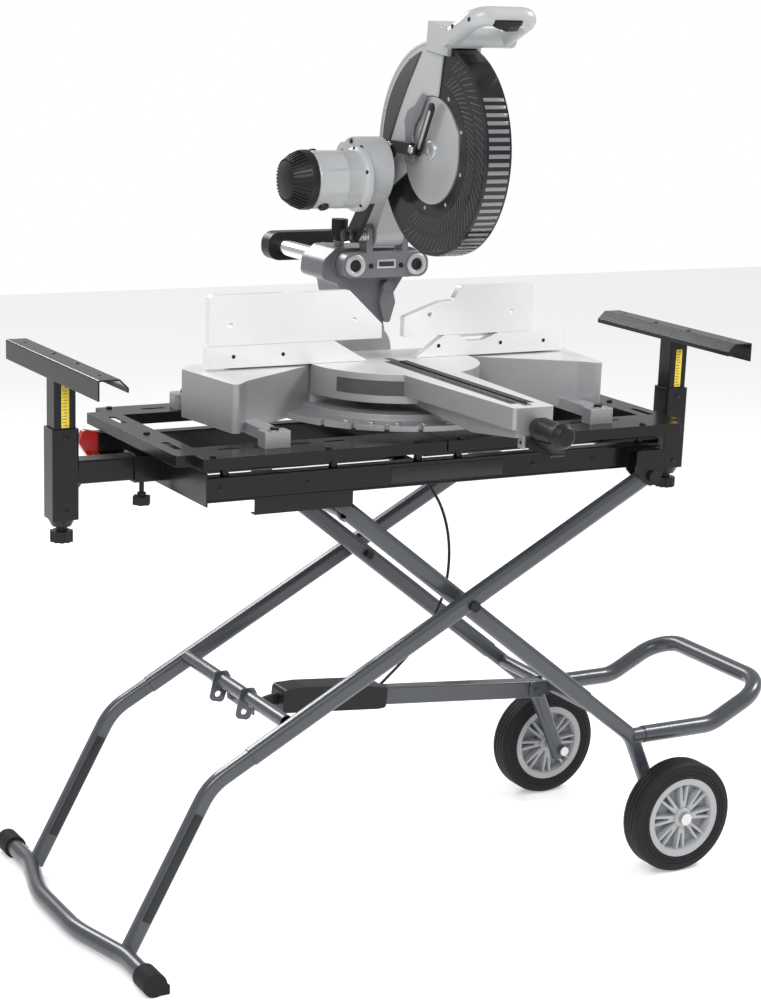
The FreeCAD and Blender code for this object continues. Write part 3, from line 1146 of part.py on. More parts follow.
def guard_shell(name, outer_radius, wall, half_width, keep_start, keep_stop):
    """A flat drum shell about the blade, trimmed to the angles it covers."""
    centre = at(D.saw_x, D.blade_y, D.blade_z)
    drum = rod(name + "_drum", outer_radius, 2 * half_width, centre, ALONG_X)
    inside = rod(name + "_inside", outer_radius - wall, 2 * (half_width - wall), centre, ALONG_X)
    wedge = plate(name + "_wedge", sector(outer_radius * 1.1, keep_start, keep_stop), 4 * half_width,
                  at(D.saw_x, 0, 0), FACE_X)
    common = doc.addObject("Part::Common", name + "_trim")
    common.Base = cut(name + "_shell", drum, inside)
    common.Tool = wedge
    return common


def handle_seat():
    """Middle of the D-handle's rear bar, where it joins the head."""
    return at(D.saw_x, D.grip_y + float(D.handle_depth), D.grip_z - float(D.handle_drop))


def saw_head():
    """The cast head: upper guard, spindle boss, arm to the chop pivot and the gear case."""
    x, half = float(D.saw_x), float(D.guard_half)
    by, bz = float(D.blade_y), float(D.blade_z)
    py, pz = float(D.chop_y), float(D.chop_z)
    wall, radius = float(D.guard_wall), float(D.guard_radius)
    centre = at(x, by, bz)
    hood = guard_shell("hood", radius, wall, half, -28.0, 100.0)
    window = rod("disc_window", float(D.disc_radius) + 1.4, 3 * wall, centre - Vector(half, 0, 0), ALONG_X)
    web = [(by, bz + 30, 5), (by - 26, bz, 12), (by, bz - 30, 5), (by + 155, bz - 60, 5), (by + 150, bz + 60, 5)]
    spider = plate("spindle_web", web, 8.0, at(x + half + 1.0, 0, 0), FACE_X)
    boss = rod("spindle_boss", 24.0, half - 9.0, centre + Vector((half + 9.0) / 2, 0, 0), ALONG_X)
    arbor_bore = rod("arbor_bore", D.arbor_radius + D.running_gap, 40.0, centre + Vector(0, 0, 0), ALONG_X)
    arm = [(py - 4, pz - 24, 18), (py + 22, pz - 6, 16), (py + 16, pz + 26, 14), (by + 190, bz + 20, 20),
           (by + 164, bz + 40), (by + 158, bz - 74), (by + 184, bz - 116, 10)]
    arm_plate = plate("head_arm", arm, 2 * head_arm_half, at(head_arm_x, 0, 0), FACE_X)
    barrel = rod("pivot_barrel", 19.0, 2 * head_arm_half, at(head_arm_x, py, pz), ALONG_X)
    pivot_bore = rod("pivot_bore", D.chop_shaft_radius + D.running_gap, 200, at(x, py, pz), ALONG_X)
    case_right = float(D.link_x) - float(D.link_width) / 2 - 3.5
    case_left = x - half - 73.0
    case = rod("gear_case", D.motor_radius + 8, case_right - case_left,
               at((case_left + case_right) / 2, D.motor_y + 20.0, D.motor_z + 12.0), ALONG_X)
    neck_right = head_arm_x - head_arm_half + 4.0
    neck = rod("gear_neck", 26.0, neck_right - case_left - 6,
               at((case_left + 6 + neck_right) / 2, by + 170, bz - 25), ALONG_X)
    keep_out = rod("guard_clearance", radius - wall, 2 * (half - wall), centre, ALONG_X)
    seat_turn = Rotation(X_AXIS, float(D.handle_tilt))
    mount = block("grip_mount", (60, 68, 45), handle_seat() + seat_turn.multVec(Vector(0, 70, -11.5)), seat_turn)
    blank = fuse("head_blank", arm_plate, barrel, case, neck, mount)
    outside = cut("head_outside", blank, keep_out, pivot_bore)
    whole = fuse("head_whole", cut("hood_open", hood, window), spider, boss, outside)
    return node("saw_head", cut("saw_head", whole, arbor_bore))


def motor():
    """The motor: a barrel with a flange on the gear case, and a slotted black end cap."""
    x = float(D.saw_x) - float(D.guard_half) - 73.2
    centre = at(0, D.motor_y, D.motor_z)
    barrel = rod("motor_barrel", D.motor_radius, 92.0, centre + Vector(x - 46, 0, 0), ALONG_X)
    flange = rod("motor_flange", D.motor_radius + 6, 8.0, centre + Vector(x - 4, 0, 0), ALONG_X)
    radius = float(D.motor_radius)
    profile = [(0, 0), (radius - 1, 0, 2), (radius + 0.5, 22, 6), (radius - 14, 42, 8), (0, 44)]
    cap = turned("motor_cap", profile, centre + Vector(x - 92.0, 0, 0), Rotation(Z_AXIS, 90))
    return node("motor", group("motor", fuse("motor_body", barrel, flange), cap))


def d_handle():
    """The horizontal D-handle: a grip bar along X on two sloping legs, over the guard's top."""
    x, span = float(D.saw_x), float(D.grip_span)
    seat = handle_seat()
    low_y, low_z = seat.y - float(D.frame_y), seat.z
    half = span / 2 - float(D.grip_radius)
    path = [at(x - half, low_y, low_z), at(x - half, D.grip_y, D.grip_z),
            at(x + half, D.grip_y, D.grip_z), at(x + half, low_y, low_z)]
    loop = pipe("grip_loop", path, [20, 20], D.grip_radius)
    base = rod("grip_base", D.grip_radius, span, at(x, low_y, low_z), ALONG_X)
    seat_turn = Rotation(X_AXIS, float(D.handle_tilt))
    tongue = block("grip_tongue", (44, 35.9, 22), seat + seat_turn.multVec(Vector(0, 17.95, 0)), seat_turn)
    tilt = Rotation(X_AXIS, -45)
    slot = block("trigger_slot", (50, 13, 32), at(x, D.grip_y, D.grip_z) + tilt.multVec(Vector(0, 0, -11)), tilt)
    return node("d_handle", cut("d_handle", fuse("handle_blank", loop, base, tongue), slot))


def trigger():
    """The switch trigger in the underside of the grip bar."""
    x, tilt = float(D.saw_x), Rotation(X_AXIS, -45)
    outline = [(-23, 0, 1), (-23, -13, 2), (-4, -22, 8), (16, -20, 4), (23, -12, 2), (23, 0, 1)]
    turn = tilt * FACE_Y
    centre = at(x, D.grip_y, D.grip_z) + tilt.multVec(Vector(0, 0, -3.5))
    return node("trigger", plate("trigger", outline, 11.0, centre, turn))


def blade():
    """The toothed blade with its flanges and arbor."""
    centre = at(D.saw_x, D.blade_y, D.blade_z)
    teeth = int(D.blade_teeth.number)
    outline = []
    for index in range(teeth):
        base = 360.0 * index / teeth
        for offset, reach in ((0.0, 0.0), (0.55, 6.5), (0.8, 6.5)):
            angle = math.radians(base + offset * 360.0 / teeth)
            radius = float(D.blade_radius) - reach
            outline.append((radius * math.cos(angle), radius * math.sin(angle)))
    disc = plate("blade_disc", outline, D.blade_plate, centre, FACE_X)
    flanges = rod("blade_flanges", 22.0, 11.0, centre, ALONG_X)
    arbor = rod("blade_arbor", D.arbor_radius, 30.0, centre + Vector(2.0, 0, 0), ALONG_X)
    return node("blade", fuse("blade", disc, flanges, arbor))


def lower_guard():
    """The dark swinging guard: a narrower shell that turns inside the upper guard."""
    radius = float(D.guard_radius) - float(D.guard_wall) - 1.2
    half = float(D.guard_half) - float(D.guard_wall) - 0.6
    shell = guard_shell("lower_guard", radius, 2.6, half, 98.0, 335.0)
    centre = at(D.saw_x, D.blade_y, D.blade_z)
    hub_left = rod("guard_hub_left", 60.0, 2.6, centre + Vector(-half + 1.3, 0, 0), ALONG_X)
    hub_right = rod("guard_hub_right", 60.0, 2.6, centre + Vector(half - 1.3, 0, 0), ALONG_X)
    hole = rod("guard_hub_hole", 25.0, 40.0, centre + Vector(half, 0, 0), ALONG_X)
    return node("lower_guard", cut("lower_guard", fuse("guard_blank", shell, hub_left, hub_right), hole))


def guard_disc():
    """The bright round arbor cover on the left face of the swinging guard."""
    half = float(D.guard_half) - float(D.guard_wall) - 0.6
    centre = at(float(D.saw_x) - half - 1.5, D.blade_y, D.blade_z)
    return node("guard_disc", rod("guard_disc", D.disc_radius, 3.0, centre, ALONG_X))


def guard_link():
    """The black bent link on the chop shaft whose nose reaches the middle of the swinging guard."""
    by, bz, py, pz = float(D.blade_y), float(D.blade_z), float(D.chop_y), float(D.chop_z)
    outline = [(py + 4, pz - 16, 12), (py + 16, pz + 5, 12), (by + 98, bz + 10, 14), (by + 26, bz + 10, 8),
               (by + 20, bz - 10, 8), (by + 84, bz - 8, 12), (py - 16, pz - 6, 10)]
    hole = [(py, pz, float(D.chop_shaft_radius) + float(D.running_gap))]
    return node("guard_link", plate("guard_link", outline, D.link_width, at(D.link_x, 0, 0), FACE_X, holes=hole))


# ---- build, check and write --------------------------------------------------------------------
for word, side in SIDES:
    outer_leg("outer_leg_" + word, side)
    inner_leg("inner_leg_" + word, side)
    tyre("tyre_" + word, side)
    hub("hub_" + word, side)
foot_frame()
foot_caps()
outer_cross_tube()
pivot_bolts()
inner_cross_tube()
wheel_legs()
handle_loop()
wheel_axles()
track_rollers()
brace_tube()
brace_grip()
brace_pawl()
gas_spring()
beam_rails()
beam_left_end()
beam_right_end()
track_channels()
left_tray()
right_tray()
carry_handle()
release_lever()
extension_arm("left_arm", -1, D.left_post_x, float(D.left_arm_start))
extension_arm("right_arm", 1, D.right_post_x, float(D.right_arm_start))
support_head("left_head", -1, D.left_post_x)
support_head("right_head", 1, D.right_post_x)
support_knobs()
release_cable()
saw_base()
turntable()
kerf_plate()
fences()
mitre_controls()
bevel_support()
rail_lock_knob()
bevel_lever()
slide_rails()
rail_end_cap()
rail_carriage()
saw_head()
motor()
d_handle()
trigger()
blade()
lower_guard()
guard_disc()
guard_link()

doc.recompute()
failed = []
for thing in doc.Objects:
    if "Invalid" in thing.State or "Error" in thing.State:
        failed.append(thing.Name)
for name, thing in nodes:
    if thing.Shape.isNull() or not thing.Shape.isValid() or thing.Shape.Volume <= 0:
        failed.append(name)
if failed:
    raise RuntimeError("failed: " + ", ".join(sorted(set(failed))))
for name, thing in nodes:
    thing.Shape.exportStep(os.path.join("parts", name + ".step"))
print(len(nodes), "nodes written")
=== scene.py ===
import bmesh
import bpy
import json
import math
from mathutils import Matrix, Vector
from mathutils.bvhtree import BVHTree


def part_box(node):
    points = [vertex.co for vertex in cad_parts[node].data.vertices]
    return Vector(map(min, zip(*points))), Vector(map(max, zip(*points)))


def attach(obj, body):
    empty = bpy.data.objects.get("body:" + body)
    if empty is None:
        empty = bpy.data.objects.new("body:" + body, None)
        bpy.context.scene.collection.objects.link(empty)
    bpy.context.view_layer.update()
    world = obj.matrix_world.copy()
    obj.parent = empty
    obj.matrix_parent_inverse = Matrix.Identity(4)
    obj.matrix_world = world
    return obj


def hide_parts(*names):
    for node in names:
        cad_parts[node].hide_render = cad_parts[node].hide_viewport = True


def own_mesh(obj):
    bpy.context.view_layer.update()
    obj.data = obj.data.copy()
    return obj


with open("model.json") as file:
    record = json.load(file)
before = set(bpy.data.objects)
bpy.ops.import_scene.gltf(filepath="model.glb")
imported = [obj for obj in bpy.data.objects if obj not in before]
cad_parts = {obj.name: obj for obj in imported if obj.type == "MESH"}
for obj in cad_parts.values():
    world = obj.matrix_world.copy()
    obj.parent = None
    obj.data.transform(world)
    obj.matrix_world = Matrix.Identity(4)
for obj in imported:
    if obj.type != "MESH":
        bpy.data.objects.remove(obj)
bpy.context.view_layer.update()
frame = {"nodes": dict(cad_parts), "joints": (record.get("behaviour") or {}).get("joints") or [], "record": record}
joints = {joint["name"]: joint for joint in frame["joints"]}
print("frame loaded:", len(frame["nodes"]), "nodes")

# The point on the floor under the scissor pivot; place() counts millimetres from it.
pivot = Vector(joints["scissor_fold"]["pos_m"])
ground = Vector((pivot.x, pivot.y, 0.0))
mm = 0.001


def place(x, y, z):
    return ground + Vector((x, y, z)) * mm


# The camera stands at the operator's left, a little above the saw. Angles in degrees, stand in place() mm.
cameraView = {"yaw": 29.046, "pitch": -15.517, "roll": 1.997, "lens": 81.9, "sensor": 36.0, "clipEnd": 50.0,
              "shiftX": 0.007, "shiftY": 0.1027, "stand": (-1906.8, -3309.6, 1542.2)}


def show(thing):
    bpy.context.scene.collection.objects.link(thing)
    return thing


def makeCamera(view):
    yaw, pitch, roll = (math.radians(view[key]) for key in ("yaw", "pitch", "roll"))
    forward = Vector((math.sin(yaw) * math.cos(pitch), math.cos(yaw) * math.cos(pitch), math.sin(pitch)))
    level = Vector((math.cos(yaw), -math.sin(yaw), 0.0))
    upright = level.cross(forward)
    right = level * math.cos(roll) + upright * math.sin(roll)
    up = right.cross(forward)
    data = bpy.data.cameras.new("camera")
    data.lens = view["lens"]
    data.sensor_width = view["sensor"]
    data.shift_x, data.shift_y = view["shiftX"], view["shiftY"]
    data.clip_end = view["clipEnd"]
    camera = show(bpy.data.objects.new("camera", data))
    turn = Matrix((right, up, -forward)).transposed().to_4x4()
    camera.matrix_world = Matrix.Translation(place(*view["stand"])) @ turn
    bpy.context.scene.camera = camera


makeCamera(cameraView)
print("camera made")


# Helpers for the node trees.
def addSocket(group, name, direction, kind, value=None):
    socket = group.interface.new_socket(name=name, in_out=direction, socket_type=kind)
    if value is not None:
        socket.default_value = value


def join(source, output, target, entry):
    source.id_data.links.new(source.outputs[output], target.inputs[entry])


def fill(node, inputs):
    for key, value in inputs.items():
        node.inputs[key].default_value = value


# Edge wear, tone and grain, shared by every finish. The worn values are cosines of the edge's turn, the patch
# values are noise levels and lengths are in metres.
surface = {"bevelSamples": 4, "wornFrom": 0.995, "wornTo": 0.86, "patchScale": 38.0, "patchDetail": 5.0,
           "patchFrom": 0.42, "patchTo": 0.62, "toneSpan": 0.5, "grainDetail": 3.0, "grainDistance": 0.0003}


def mathNode(nodes, operation, kind="ShaderNodeMath"):
    node = nodes.new(kind)
    node.operation = operation
    return node


def makeDetailGroup(values):
    group = bpy.data.node_groups.new("finishDetail", "ShaderNodeTree")
    for name, value in (("Colour", (0.5, 0.5, 0.5, 1)), ("Edge Colour", (0.8, 0.8, 0.8, 1))):
        addSocket(group, name, "INPUT", "NodeSocketColor", value)
    for name, value in (("Edge Width", 0.0008), ("Edge Wear", 0.2), ("Variation", 0.1),
                        ("Grain Scale", 900.0), ("Grain Depth", 0.1), ("Roughness", 0.4),
                        ("Roughness Spread", 0.08)):
        addSocket(group, name, "INPUT", "NodeSocketFloat", value)
    addSocket(group, "Colour", "OUTPUT", "NodeSocketColor")
    addSocket(group, "Roughness", "OUTPUT", "NodeSocketFloat")
    addSocket(group, "Normal", "OUTPUT", "NodeSocketVector")
    nodes = group.nodes
    given, result = nodes.new("NodeGroupInput"), nodes.new("NodeGroupOutput")
    coordinates = nodes.new("ShaderNodeTexCoord")
    rounded = nodes.new("ShaderNodeBevel")
    rounded.samples = values["bevelSamples"]
    join(given, "Edge Width", rounded, "Radius")
    geometry = nodes.new("ShaderNodeNewGeometry")
    edgeTurn = mathNode(nodes, "DOT_PRODUCT", "ShaderNodeVectorMath")
    join(rounded, "Normal", edgeTurn, 0)
    join(geometry, "Normal", edgeTurn, 1)
    worn = nodes.new("ShaderNodeMapRange")
    fill(worn, {"From Min": values["wornFrom"], "From Max": values["wornTo"]})
    join(edgeTurn, "Value", worn, "Value")
    patch = nodes.new("ShaderNodeTexNoise")
    fill(patch, {"Scale": values["patchScale"], "Detail": values["patchDetail"]})
    join(coordinates, "Object", patch, "Vector")
    sharpPatch = nodes.new("ShaderNodeMapRange")
    fill(sharpPatch, {"From Min": values["patchFrom"], "From Max": values["patchTo"]})
    join(patch, "Fac", sharpPatch, "Value")
    edge = mathNode(nodes, "MULTIPLY")
    join(worn, "Result", edge, 0)
    join(sharpPatch, "Result", edge, 1)
    amount = mathNode(nodes, "MULTIPLY")
    amount.use_clamp = True
    join(edge, "Value", amount, 0)
    join(given, "Edge Wear", amount, 1)
    tone = nodes.new("ShaderNodeMapRange")
    fill(tone, {"To Min": -values["toneSpan"], "To Max": values["toneSpan"]})
    join(patch, "Fac", tone, "Value")
    shade = mathNode(nodes, "MULTIPLY_ADD")
    shade.inputs[2].default_value = 1.0
    join(tone, "Result", shade, 0)
    join(given, "Variation", shade, 1)
    tinted = mathNode(nodes, "SCALE", "ShaderNodeVectorMath")
    join(given, "Colour", tinted, 0)
    join(shade, "Value", tinted, "Scale")
    mixed = nodes.new("ShaderNodeMix")
    mixed.data_type = "RGBA"
    join(amount, "Value", mixed, "Factor")
    join(tinted, "Vector", mixed, 6)
    join(given, "Edge Colour", mixed, 7)
    join(mixed, 2, result, "Colour")
    grain = nodes.new("ShaderNodeTexNoise")
    grain.inputs["Detail"].default_value = values["grainDetail"]
    join(coordinates, "Object", grain, "Vector")
    join(given, "Grain Scale", grain, "Scale")
    bump = nodes.new("ShaderNodeBump")
    bump.inputs["Distance"].default_value = values["grainDistance"]
    join(grain, "Fac", bump, "Height")
    join(given, "Grain Depth", bump, "Strength")
    join(rounded, "Normal", bump, "Normal")
    join(bump, "Normal", result, "Normal")
    spread = mathNode(nodes, "MULTIPLY_ADD")
    join(tone, "Result", spread, 0)
    join(given, "Roughness Spread", spread, 1)
    join(given, "Roughness", spread, 2)
    join(spread, "Value", result, "Roughness")
    return group


detailGroup = makeDetailGroup(surface)


# The base and turntable castings are milled bright on flats that face up above this height in metres. The
# flatness is the least upward share of a face's normal.
milledTop = {"height": 0.905, "flatness": 0.98, "colour": (0.80, 0.805, 0.81, 1)}


def makeMilledGroup(values):
    group = bpy.data.node_groups.new("milledTop", "ShaderNodeTree")
    addSocket(group, "Height", "INPUT", "NodeSocketFloat", values["height"])
    addSocket(group, "Amount", "OUTPUT", "NodeSocketFloat")
    nodes = group.nodes
    given, result = nodes.new("NodeGroupInput"), nodes.new("NodeGroupOutput")
    geometry, where = nodes.new("ShaderNodeNewGeometry"), nodes.new("ShaderNodeTexCoord")
    normal, spot = nodes.new("ShaderNodeSeparateXYZ"), nodes.new("ShaderNodeSeparateXYZ")
    join(geometry, "True Normal", normal, "Vector")
    join(where, "Object", spot, "Vector")
    flat, high, both = (mathNode(nodes, kind) for kind in ("GREATER_THAN", "GREATER_THAN", "MULTIPLY"))
    flat.inputs[1].default_value = values["flatness"]
    join(normal, "Z", flat, 0)
    join(spot, "Z", high, 0)
    join(given, "Height", high, 1)
    join(flat, "Value", both, 0)
    join(high, "Value", both, 1)
    join(both, "Value", result, "Amount")
    return group


milledGroup = makeMilledGroup(milledTop)
print("shader groups made")

# Each finish: colour, roughness, metallic, coat, edge colour, edge wear, variation, grain scale, grain depth,
# edge width in metres.
finishes = {
    "legPaint": ((0.052, 0.057, 0.068), 0.30, 0.10, 0.30, (0.13, 0.14, 0.15), 0.20, 0.10, 1400, 0.03, 0.0008),
    "framePaint": ((0.0065, 0.0065, 0.007), 0.24, 0.0, 0.16,
                   (0.05, 0.05, 0.05), 0.30, 0.15, 1300, 0.12, 0.0010),
    "zinc": ((0.60, 0.60, 0.58), 0.28, 1.0, 0.0, (0.8, 0.8, 0.78), 0.3, 0.16, 700, 0.12, 0.0004),
    "darkSteel": ((0.014, 0.014, 0.015), 0.36, 0.2, 0.1, (0.12, 0.12, 0.12), 0.4, 0.15, 1000, 0.15, 0.0006),
    "footRubber": ((0.013, 0.013, 0.013), 0.68, 0.0, 0.0, (0.05, 0.05, 0.05), 0.2, 0.25, 900, 0.35, 0.0012),
    "tyreRubber": ((0.012, 0.012, 0.0125), 0.60, 0.0, 0.0,
                   (0.05, 0.05, 0.05), 0.25, 0.25, 1100, 0.35, 0.0008),
    "hubPlastic": ((0.36, 0.37, 0.385), 0.42, 0.0, 0.05, (0.48, 0.49, 0.5), 0.2, 0.06, 1500, 0.10, 0.0008),
    "blackPlastic": ((0.012, 0.012, 0.013), 0.40, 0.0, 0.05,
                     (0.06, 0.06, 0.06), 0.3, 0.14, 1700, 0.28, 0.0009),
    "redPlastic": ((0.50, 0.012, 0.012), 0.30, 0.0, 0.2, (0.62, 0.08, 0.07), 0.25, 0.08, 1500, 0.1, 0.0008),
    "cableJacket": ((0.010, 0.010, 0.010), 0.42, 0.0, 0.1, (0.04, 0.04, 0.04), 0.1, 0.1, 1500, 0.15, 0.0003),
    "foam": ((0.014, 0.014, 0.014), 0.85, 0.0, 0.0, (0.05, 0.05, 0.05), 0.2, 0.3, 620, 0.9, 0.0012),
    "castAluminium": ((0.40, 0.41, 0.425), 0.44, 0.85, 0.0,
                      (0.72, 0.73, 0.74), 0.55, 0.10, 760, 0.45, 0.0013),
    "castMilled": ((0.36, 0.365, 0.375), 0.42, 0.55, 0.0, (0.72, 0.73, 0.74), 0.55, 0.10, 760, 0.45, 0.0013),
    "machined": ((0.66, 0.67, 0.69), 0.27, 1.0, 0.0, (0.86, 0.86, 0.87), 0.5, 0.08, 420, 0.10, 0.0007),
    "greyPaint": ((0.40, 0.41, 0.42), 0.36, 0.0, 0.20, (0.58, 0.59, 0.6), 0.25, 0.06, 1300, 0.18, 0.0012),
    "supportGrey": ((0.17, 0.175, 0.185), 0.42, 0.3, 0.10, (0.45, 0.46, 0.47), 0.4, 0.10, 900, 0.35, 0.0013),
    "chrome": ((0.74, 0.75, 0.77), 0.10, 1.0, 0.0, (0.85, 0.85, 0.87), 0.2, 0.03, 300, 0.02, 0.0005),
    "smoked": ((0.009, 0.010, 0.011), 0.16, 0.0, 0.32, (0.06, 0.06, 0.065), 0.2, 0.12, 1200, 0.05, 0.0010),
    "bladeSteel": ((0.62, 0.63, 0.65), 0.24, 1.0, 0.0, (0.8, 0.8, 0.82), 0.3, 0.08, 500, 0.08, 0.0003),
    "labelDark": ((0.022, 0.023, 0.026), 0.35, 0.0, 0.1, (0.06, 0.06, 0.06), 0.1, 0.05, 900, 0.05, 0.0003),
    "scaleYellow": ((0.72, 0.55, 0.05), 0.45, 0.0, 0.0, (0.8, 0.66, 0.2), 0.2, 0.05, 900, 0.05, 0.0003),
    "ribGrey": ((0.20, 0.205, 0.215), 0.22, 0.2, 0.3, (0.4, 0.4, 0.42), 0.3, 0.10, 900, 0.05, 0.0004),
    "ventGrey": ((0.055, 0.057, 0.061), 0.30, 0.0, 0.2, (0.2, 0.2, 0.21), 0.3, 0.10, 900, 0.05, 0.0003),
    "panelGrey": ((0.035, 0.036, 0.038), 0.42, 0.0, 0.05, (0.1, 0.1, 0.1), 0.2, 0.08, 1500, 0.20, 0.0005),
    "satinSilver": ((0.52, 0.53, 0.54), 0.33, 0.6, 0.1, (0.75, 0.76, 0.77), 0.3, 0.05, 700, 0.06, 0.0006),
    "fenceBright": ((0.86, 0.86, 0.865), 0.34, 0.35, 0.0, (0.93, 0.93, 0.93), 0.4, 0.05, 420, 0.08, 0.0007),
    "labelSpeckle": ((0.060, 0.060, 0.062), 0.45, 0.0, 0.0, (0.3, 0.3, 0.3), 0.1, 0.9, 900, 0.10, 0.0003),
}
# Dark finishes reflect less, so that they stay dark under the studio's light.
sheen = {"coatRoughness": 0.12, "darkBelow": 0.05, "darkSpecular": 0.22, "specular": 0.5}
materials = {}


def makeFinish(name):
    colour, rough, metallic, coat, edge, wear, variation, scale, depth, width = finishes[name]
    material = bpy.data.materials.new(name)
    material.use_nodes = True
    nodes = material.node_tree.nodes
    shader = nodes["Principled BSDF"]
    detail = nodes.new("ShaderNodeGroup")
    detail.node_tree = detailGroup
    fill(detail, {"Colour": (*colour, 1), "Edge Colour": (*edge, 1), "Edge Width": width,
                  "Edge Wear": wear, "Variation": variation, "Grain Scale": scale, "Grain Depth": depth,
                  "Roughness": rough})
    join(detail, "Colour", shader, "Base Color")
    join(detail, "Roughness", shader, "Roughness")
    join(detail, "Normal", shader, "Normal")
    if name == "castMilled":
        milled = nodes.new("ShaderNodeGroup")
        milled.node_tree = milledGroup
        bright = nodes.new("ShaderNodeMix")
        bright.data_type = "RGBA"
        bright.inputs[7].default_value = milledTop["colour"]
        join(milled, "Amount", bright, "Factor")
        join(detail, "Colour", bright, 6)
        join(bright, 2, shader, "Base Color")
    specular = sheen["darkSpecular"] if max(colour) < sheen["darkBelow"] else sheen["specular"]
    fill(shader, {"Metallic": metallic, "Coat Weight": coat, "Coat Roughness": sheen["coatRoughness"],
                  "Specular IOR Level": specular})
    material.diffuse_color = (*colour, 1)
    return material


for finish in finishes:
    materials[finish] = makeFinish(finish)
print("finishes made:", len(materials))

slotFinish = {
    "leg_paint": "legPaint", "frame_black": "framePaint", "zinc_steel": "zinc", "black_steel": "darkSteel",
    "foot_rubber": "footRubber", "tyre": "tyreRubber", "hub_plastic": "hubPlastic",
    "black_plastic": "blackPlastic", "red_plastic": "redPlastic", "cable_jacket": "cableJacket",
    "foam": "foam",
    "cast_aluminium": "castAluminium", "machined_aluminium": "machined", "grey_paint": "greyPaint",
    "support_grey": "supportGrey", "chrome_rail": "chrome", "smoked_plastic": "smoked",
    "blade_steel": "bladeSteel",
}
finishSlot = {finish: slot for slot, finish in slotFinish.items()}
finishSlot.update({
    "labelDark": "black_plastic", "scaleYellow": "hub_plastic", "ribGrey": "smoked_plastic",
    "ventGrey": "smoked_plastic", "panelGrey": "black_plastic", "satinSilver": "cast_aluminium",
    "fenceBright": "machined_aluminium", "castMilled": "cast_aluminium", "labelSpeckle": "black_plastic",
})
nodeFinish = {
    "guard_disc": "satinSilver", "saw_base": "castMilled", "turntable": "castMilled",
    "fixed_fences": "fenceBright", "left_fence": "fenceBright", "right_fence": "fenceBright",
}
for subpart in frame["record"]["subparts"]:
    finish = nodeFinish.get(subpart["node"], slotFinish[subpart["material_slot"]])
    data = frame["nodes"][subpart["node"]].data
    data.materials.clear()
    data.materials.append(materials[finish])


# The mesh builders take millimetres. lathe, prism, slab and tube return a bmesh in metres, capsule and
# arcBand an outline in millimetres. The lengths below are in metres, the angles in radians.
weldDistance, degenerateLength, sharpAngle, smoothAngle = 1e-6, 1e-7, 0.5, math.radians(32.0)


def lathe(profile, segments=48):
    form = bmesh.new()
    rings = []
    for index in range(segments):
        angle = 2 * math.pi * index / segments
        c, s = math.cos(angle), math.sin(angle)
        rings.append([form.verts.new((r * mm * c, r * mm * s, z * mm)) for r, z in profile])
    sides = len(profile)
    for index in range(segments):
        here, after = rings[index], rings[(index + 1) % segments]
        for k in range(sides):
            form.faces.new((here[k], after[k], after[(k + 1) % sides], here[(k + 1) % sides]))
    bmesh.ops.remove_doubles(form, verts=form.verts, dist=weldDistance)
    bmesh.ops.dissolve_degenerate(form, edges=form.edges, dist=degenerateLength)
    bmesh.ops.recalc_face_normals(form, faces=form.faces)
    return form


def prism(outline, thickness, soften=0.0, steps=2):
    form = bmesh.new()
    low = [form.verts.new((x * mm, y * mm, -thickness * mm / 2)) for x, y in outline]
    high = [form.verts.new((x * mm, y * mm, thickness * mm / 2)) for x, y in outline]
    form.faces.new(low[::-1])
    form.faces.new(high)
    for k in range(len(outline)):
        after = (k + 1) % len(outline)
        form.faces.new((low[k], low[after], high[after], high[k]))
    bmesh.ops.recalc_face_normals(form, faces=form.faces)
    if soften:
        softenEdges(form, soften, steps)
    return form


def softenEdges(form, width, steps):
    sharp = [edge for edge in form.edges
             if len(edge.link_faces) == 2 and edge.calc_face_angle(0) > sharpAngle]
    bmesh.ops.bevel(form, geom=sharp, offset=width * mm, segments=steps, profile=0.5, affect="EDGES",
                    clamp_overlap=True)


def slab(x, y, z, soften):
    return prism([(-x / 2, -y / 2), (x / 2, -y / 2), (x / 2, y / 2), (-x / 2, y / 2)], z, soften)


def capsule(length, width, steps=10):
    outline = []
    for side in (1, -1):
        for k in range(steps + 1):
            angle = math.pi * k / steps - math.pi / 2
            outline.append((side * ((length - width) / 2 + width / 2 * math.cos(angle)),
                            side * width / 2 * math.sin(angle)))
    return outline


def arcBand(inner, outer, start, stop, steps=40):
    angles = [math.radians(start + (stop - start) * k / steps) for k in range(steps + 1)]
    outline = [(outer * math.cos(a), outer * math.sin(a)) for a in angles]
    return outline + [(inner * math.cos(a), inner * math.sin(a)) for a in reversed(angles)]


def tube(points, radius, sides, smoothness):
    curve = bpy.data.curves.new("route", "CURVE")
    curve.dimensions = "3D"
    spline = curve.splines.new("NURBS")
    spline.points.add(len(points) - 1)
    for point, spot in zip(spline.points, points):
        point.co = (*spot, 1)
    spline.order_u = 3
    spline.use_endpoint_u = True
    curve.resolution_u = smoothness
    curve.bevel_depth = radius * mm
    curve.bevel_resolution = max(1, sides // 4)
    curve.use_fill_caps = True
    holder = show(bpy.data.objects.new("route", curve))
    bpy.context.view_layer.update()
    graph = bpy.context.evaluated_depsgraph_get()
    mesh = bpy.data.meshes.new_from_object(holder.evaluated_get(graph))
    form = bmesh.new()
    form.from_mesh(mesh)
    bpy.data.objects.remove(holder)
    bpy.data.meshes.remove(mesh)
    bmesh.ops.remove_doubles(form, verts=form.verts, dist=weldDistance)
    bmesh.ops.recalc_face_normals(form, faces=form.faces)
    return form


def facing(direction):
    return Vector((0, 0, 1)).rotation_difference(Vector(direction)).to_matrix().to_4x4()


def toMesh(name, form, matrix=None):
    if matrix is not None:
        form.transform(matrix)
    mesh = bpy.data.meshes.new(name)
    form.to_mesh(mesh)
    form.free()
    for polygon in mesh.polygons:
        polygon.use_smooth = True
    mesh.set_sharp_from_angle(angle=smoothAngle)
    return mesh


